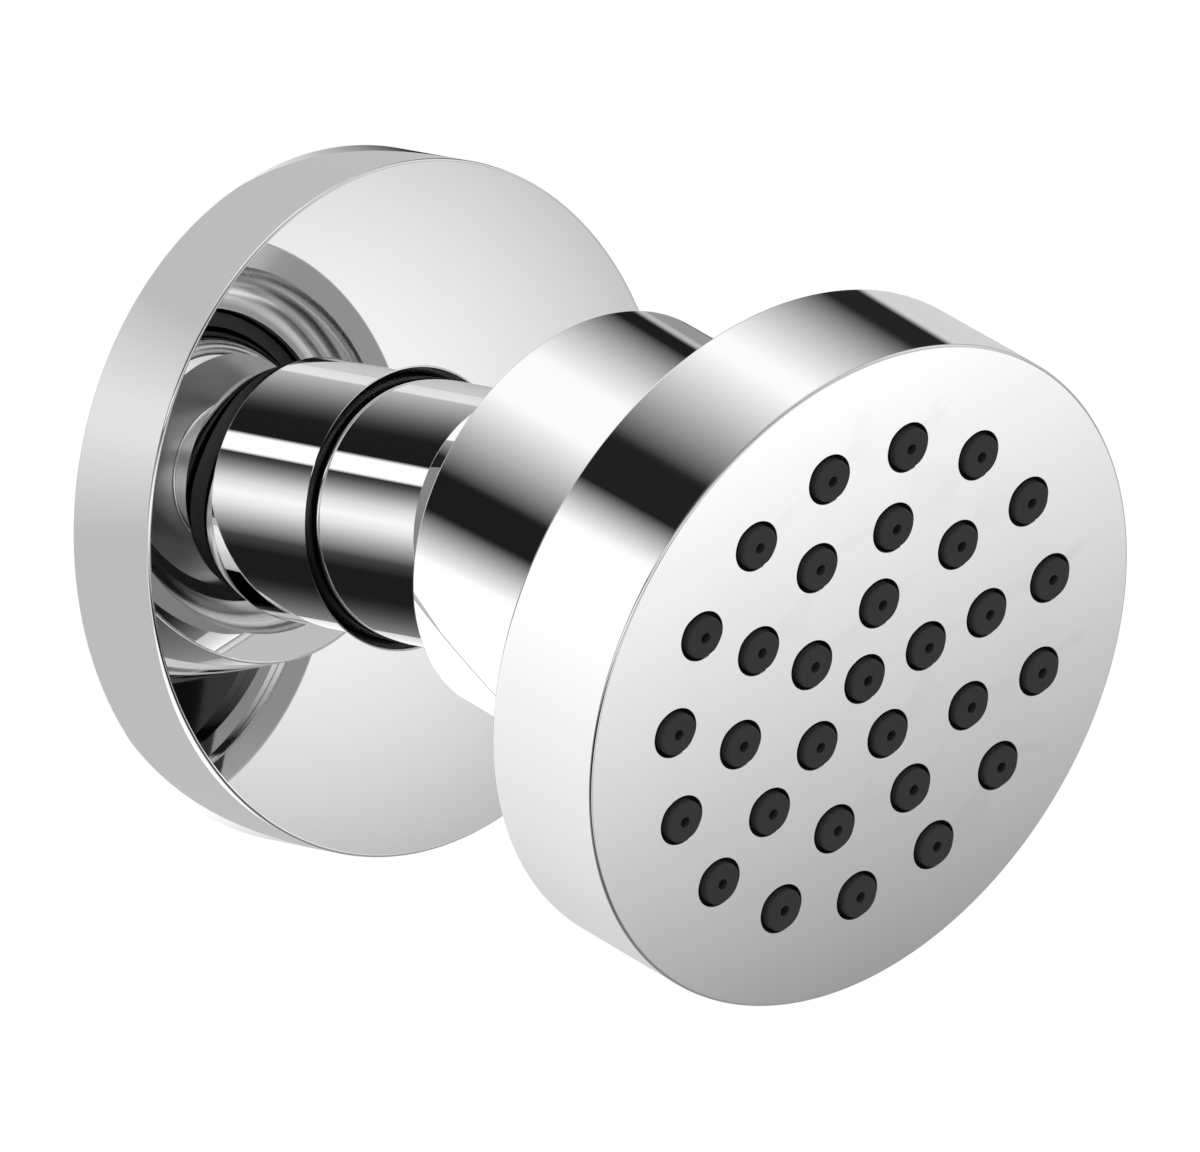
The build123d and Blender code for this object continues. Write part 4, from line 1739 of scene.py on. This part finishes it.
# Grey levels of the reflected sky by height in degrees: strips and flags on the left, a wash on the right
LEFT_SKY = [
    (-90.0, 0.1), (-60.0, 0.09), (-47.0, 0.013), (-31.0, 0.013), (-24.0, 0.06), (-15.0, 0.42), (-6.0, 0.88),
    (0.0, 1.05), (7.0, 0.8), (15.0, 0.3), (20.0, 0.08), (22.9, 0.02), (23.5, 1.1), (32.0, 1.1), (32.6, 0.012),
    (46.0, 0.013), (55.0, 0.2), (75.0, 0.7), (90.0, 0.9),
]
RIGHT_SKY = [(-90.0, 0.35), (-20.0, 0.38), (0.0, 0.5), (12.0, 0.6), (24.0, 0.75), (50.0, 0.8), (90.0, 0.9)]
WHITE = (1.0, 1.0, 1.0, 1.0)


@dataclass
class Studio:
    """Floor, cards, lamps, sky and camera."""

    floor_drop: float = 0.22
    floor_reach: float = 0.75
    floor_tone: float = 0.9
    floor_rough: float = 0.9
    azimuth: float = -42.77
    elevation: float = 10.27
    aim: tuple[float, float, float] = (0.009242, -0.017711, -0.004714)
    camera_distance: float = 2.0257
    sensor: float = 36.0
    lens: float = 857.1
    clip: tuple[float, float] = (0.1, 10.0)
    fill_level: float = 0.85
    sky_left: float = -0.2
    sky_right: float = 0.8
    key_watts: float = 0.25
    key_size: float = 0.35
    key_place: tuple[float, float, float] = (-0.25, -0.4, 0.45)

    def build(self) -> None:
        """Set the whole stage."""
        self.build_floor()
        self.build_cards()
        self.build_sky()
        self.build_key()
        self.build_camera()
        bpy.context.scene.view_settings.view_transform = "Standard"

    def build_floor(self) -> None:
        """Pale round floor below the part."""
        sheet = bmesh.new()
        low = CAD_BOX[0].z - self.floor_drop
        bmesh.ops.create_circle(sheet, cap_ends=True, segments=CARD_TURN, radius=self.floor_reach)
        bmesh.ops.translate(sheet, vec=(0.0, 0.0, low), verts=sheet.verts[:])
        paint = bpy.data.materials.new("floor_paint")
        paint.use_nodes = True
        shader = paint.node_tree.nodes["Principled BSDF"]
        shader.inputs["Base Color"].default_value = (self.floor_tone, self.floor_tone, self.floor_tone, 1.0)
        shader.inputs["Roughness"].default_value = self.floor_rough
        floor = stage_sheet("studio_floor", sheet, paint)
        floor.visible_glossy = False

    def build_cards(self) -> None:
        """Cards that the polished sides and faces mirror."""
        self.build_side_cards()
        SlopeCard(
            name="head_face_card",
            sees=FACE_MIDDLE,
            way=(0.664, -0.539, -0.518),
            distance=260.0,
            half=60.0,
            slope_angle=131.0,
            bright=1.35,
            dark=0.1,
        ).build()
        SlopeCard(
            name="cover_face_card",
            sees=(0.0, -8.0, 0.0),
            way=(0.664, -0.727, -0.174),
            distance=260.0,
            half=40.0,
            slope_angle=162.0,
            bright=1.318,
            dark=0.574,
            falloff=0.00042,
        ).build()
        BowCard(
            name="drum_low_window",
            way=(0.173, -0.833, -0.526),
            distance=400.0,
            edges=[
                (-250.0, -38.0, -8.0), (-150.0, -44.0, -8.0), (-60.0, -46.0, 0.0), (-20.0, -44.0, 8.0),
                (20.0, -28.0, 18.0), (60.0, -8.0, 38.0), (100.0, 14.0, 60.0), (180.0, 64.0, 110.0),
                (225.0, 96.0, 142.0),
            ],
            level=1.1,
            lights="cover_plate",
        ).build()
        SlopeCard(
            name="front_sheet",
            sees=FACE_MIDDLE,
            way=(-0.12, -0.765, -0.633),
            distance=480.0,
            half=160.0,
            slope_angle=90.0,
            bright=0.85,
            dark=0.5,
            lights="head_disc",
        ).build()

    def build_side_cards(self) -> None:
        """Round cards behind the part, one for the sides of each round piece."""
        WallCard(
            name="cover_side_card",
            centre=(-4.35, 2.1),
            inner=26.5,
            outer=30.6,
            behind=2.5,
            base=[(0.0, 0.53), (360.0, 0.53)],
            bands=[Band(160.0, 180.0, 186.0, 206.0, 0.8)],
        ).build()
        WallCard(
            name="drum_card",
            centre=(-11.0, 43.5),
            inner=27.0,
            outer=86.5,
            behind=14.0,
            base=[
                (0.0, 0.03), (32.0, 0.03), (40.0, 0.31), (56.0, 0.31), (58.0, 0.5), (64.0, 0.5), (66.0, 1.0),
                (240.0, 1.05), (285.0, 1.05), (330.0, 0.35), (352.0, 0.22), (356.0, 0.03), (360.0, 0.03),
            ],
            bands=[Band(61.0, 64.0, 73.0, 118.0, 0.012), Band(142.0, 182.0, 199.0, 221.0, 0.012)],
        ).build()
        WallCard(
            name="disc_card",
            centre=(-9.0, 52.0),
            inner=27.0,
            outer=122.0,
            behind=15.0,
            base=[
                (0.0, 0.5), (12.0, 0.42), (20.0, 0.28), (26.0, 0.28), (30.0, 0.66), (56.0, 0.66), (60.0, 1.0),
                (200.0, 1.05), (235.0, 0.9), (300.0, 0.7), (345.0, 0.64), (360.0, 0.5),
            ],
            bands=[Band(57.0, 60.0, 71.0, 106.0, 0.018), Band(112.0, 148.0, 162.0, 174.0, 0.015)],
        ).build()
        WallCard(
            name="far_card",
            centre=(0.0, 50.0),
            inner=27.0,
            outer=600.0,
            behind=16.0,
            base=[(0.0, 0.46), (30.0, 0.35), (60.0, 0.24), (320.0, 0.24), (360.0, 0.46)],
            bands=[],
        ).build()

    def build_sky(self) -> None:
        """White for the camera, plain fill for soft surfaces, strip lights for the metal."""
        world = bpy.data.worlds.new("studio_sky")
        bpy.context.scene.world = world
        world.use_nodes = True
        tree = world.node_tree
        tree.nodes.clear()
        ray = add_node(tree, "ShaderNodeLightPath")
        white = add_node(tree, "ShaderNodeBackground", {"Color": WHITE})
        fill = add_node(tree, "ShaderNodeBackground", {"Color": WHITE, "Strength": self.fill_level})
        strips = add_node(tree, "ShaderNodeBackground")
        by_gloss = add_node(tree, "ShaderNodeMixShader")
        by_camera = add_node(tree, "ShaderNodeMixShader")
        out = add_node(tree, "ShaderNodeOutputWorld")
        tree.links.new(self.strip_colour(tree), strips.inputs["Color"])
        tree.links.new(ray.outputs["Is Glossy Ray"], by_gloss.inputs["Fac"])
        tree.links.new(fill.outputs["Background"], by_gloss.inputs[1])
        tree.links.new(strips.outputs["Background"], by_gloss.inputs[2])
        tree.links.new(ray.outputs["Is Camera Ray"], by_camera.inputs["Fac"])
        tree.links.new(by_gloss.outputs["Shader"], by_camera.inputs[1])
        tree.links.new(white.outputs["Background"], by_camera.inputs[2])
        tree.links.new(by_camera.outputs["Shader"], out.inputs["Surface"])

    def strip_colour(self, tree: bpy.types.NodeTree) -> bpy.types.NodeSocket:
        """Strip lights and flags by height on the left, an even wash on the right.

        Args:
            tree: the sky's node tree.

        Returns:
            The colour socket.
        """
        ends = {"From Min": -math.pi / 2, "From Max": math.pi / 2}
        sides = {"From Min": self.sky_left, "From Max": self.sky_right}
        where = add_node(tree, "ShaderNodeTexCoord")
        parts = add_node(tree, "ShaderNodeSeparateXYZ")
        height = add_node(tree, "ShaderNodeMath", operation="ARCSINE")
        degrees = add_node(tree, "ShaderNodeMapRange", ends)
        left = add_node(tree, "ShaderNodeValToRGB")
        fill_ramp(left, LEFT_SKY, -90.0, 90.0)
        right = add_node(tree, "ShaderNodeValToRGB")
        fill_ramp(right, RIGHT_SKY, -90.0, 90.0)
        side = add_node(tree, "ShaderNodeMapRange", sides, interpolation_type="SMOOTHSTEP")
        mixed = add_node(tree, "ShaderNodeMix", data_type="RGBA")
        tree.links.new(where.outputs["Generated"], parts.inputs["Vector"])
        tree.links.new(parts.outputs["Z"], height.inputs[0])
        tree.links.new(height.outputs["Value"], degrees.inputs["Value"])
        tree.links.new(degrees.outputs["Result"], left.inputs["Fac"])
        tree.links.new(degrees.outputs["Result"], right.inputs["Fac"])
        tree.links.new(parts.outputs["X"], side.inputs["Value"])
        tree.links.new(side.outputs["Result"], mixed.inputs[MIX_FACTOR])
        tree.links.new(left.outputs["Color"], mixed.inputs[MIX_A])
        tree.links.new(right.outputs["Color"], mixed.inputs[MIX_B])
        return mixed.outputs[MIX_COLOUR]

    def build_key(self) -> None:
        """Large soft lamp from the upper left, unseen by the metal."""
        lamp = bpy.data.lights.new("soft_key", "AREA")
        lamp.shape = "DISK"
        lamp.size = self.key_size
        lamp.energy = self.key_watts
        lamp.specular_factor = 0.0
        key = bpy.data.objects.new("soft_key", lamp)
        key.location = self.key_place
        key.rotation_mode = "QUATERNION"
        key.rotation_quaternion = (-Vector(key.location)).to_track_quat("-Z", "Y")
        key.visible_camera = False
        key.visible_glossy = False
        bpy.context.scene.collection.objects.link(key)

    def build_camera(self) -> None:
        """Long lens at the photograph's angle, distance and scale."""
        a, e = math.radians(self.azimuth), math.radians(self.elevation)
        back = Vector((math.sin(a) * math.cos(e), -math.cos(a) * math.cos(e), math.sin(e)))
        lens = bpy.data.cameras.new("photo_camera")
        lens.sensor_fit, lens.sensor_width = "HORIZONTAL", self.sensor
        lens.lens = self.lens
        lens.clip_start, lens.clip_end = self.clip
        camera = bpy.data.objects.new("photo_camera", lens)
        camera.location = Vector(self.aim) + back * self.camera_distance
        camera.rotation_mode = "QUATERNION"
        camera.rotation_quaternion = (-back).to_track_quat("-Z", "Y")
        bpy.context.scene.collection.objects.link(camera)
        bpy.context.scene.camera = camera


def main() -> None:
    """Build the part's sub-assemblies in order, then the stage."""
    logging.basicConfig(level=logging.INFO, format="%(name)s: %(message)s")
    for assembly in (WallCover(), InletStem(), BallStem(), Drum(), SprayHead()):
        LOG.info("building %s", type(assembly).__name__)
        assembly.build()
    InnerWorks().dress()
    Studio().build()


if __name__ == "__main__":
    main()
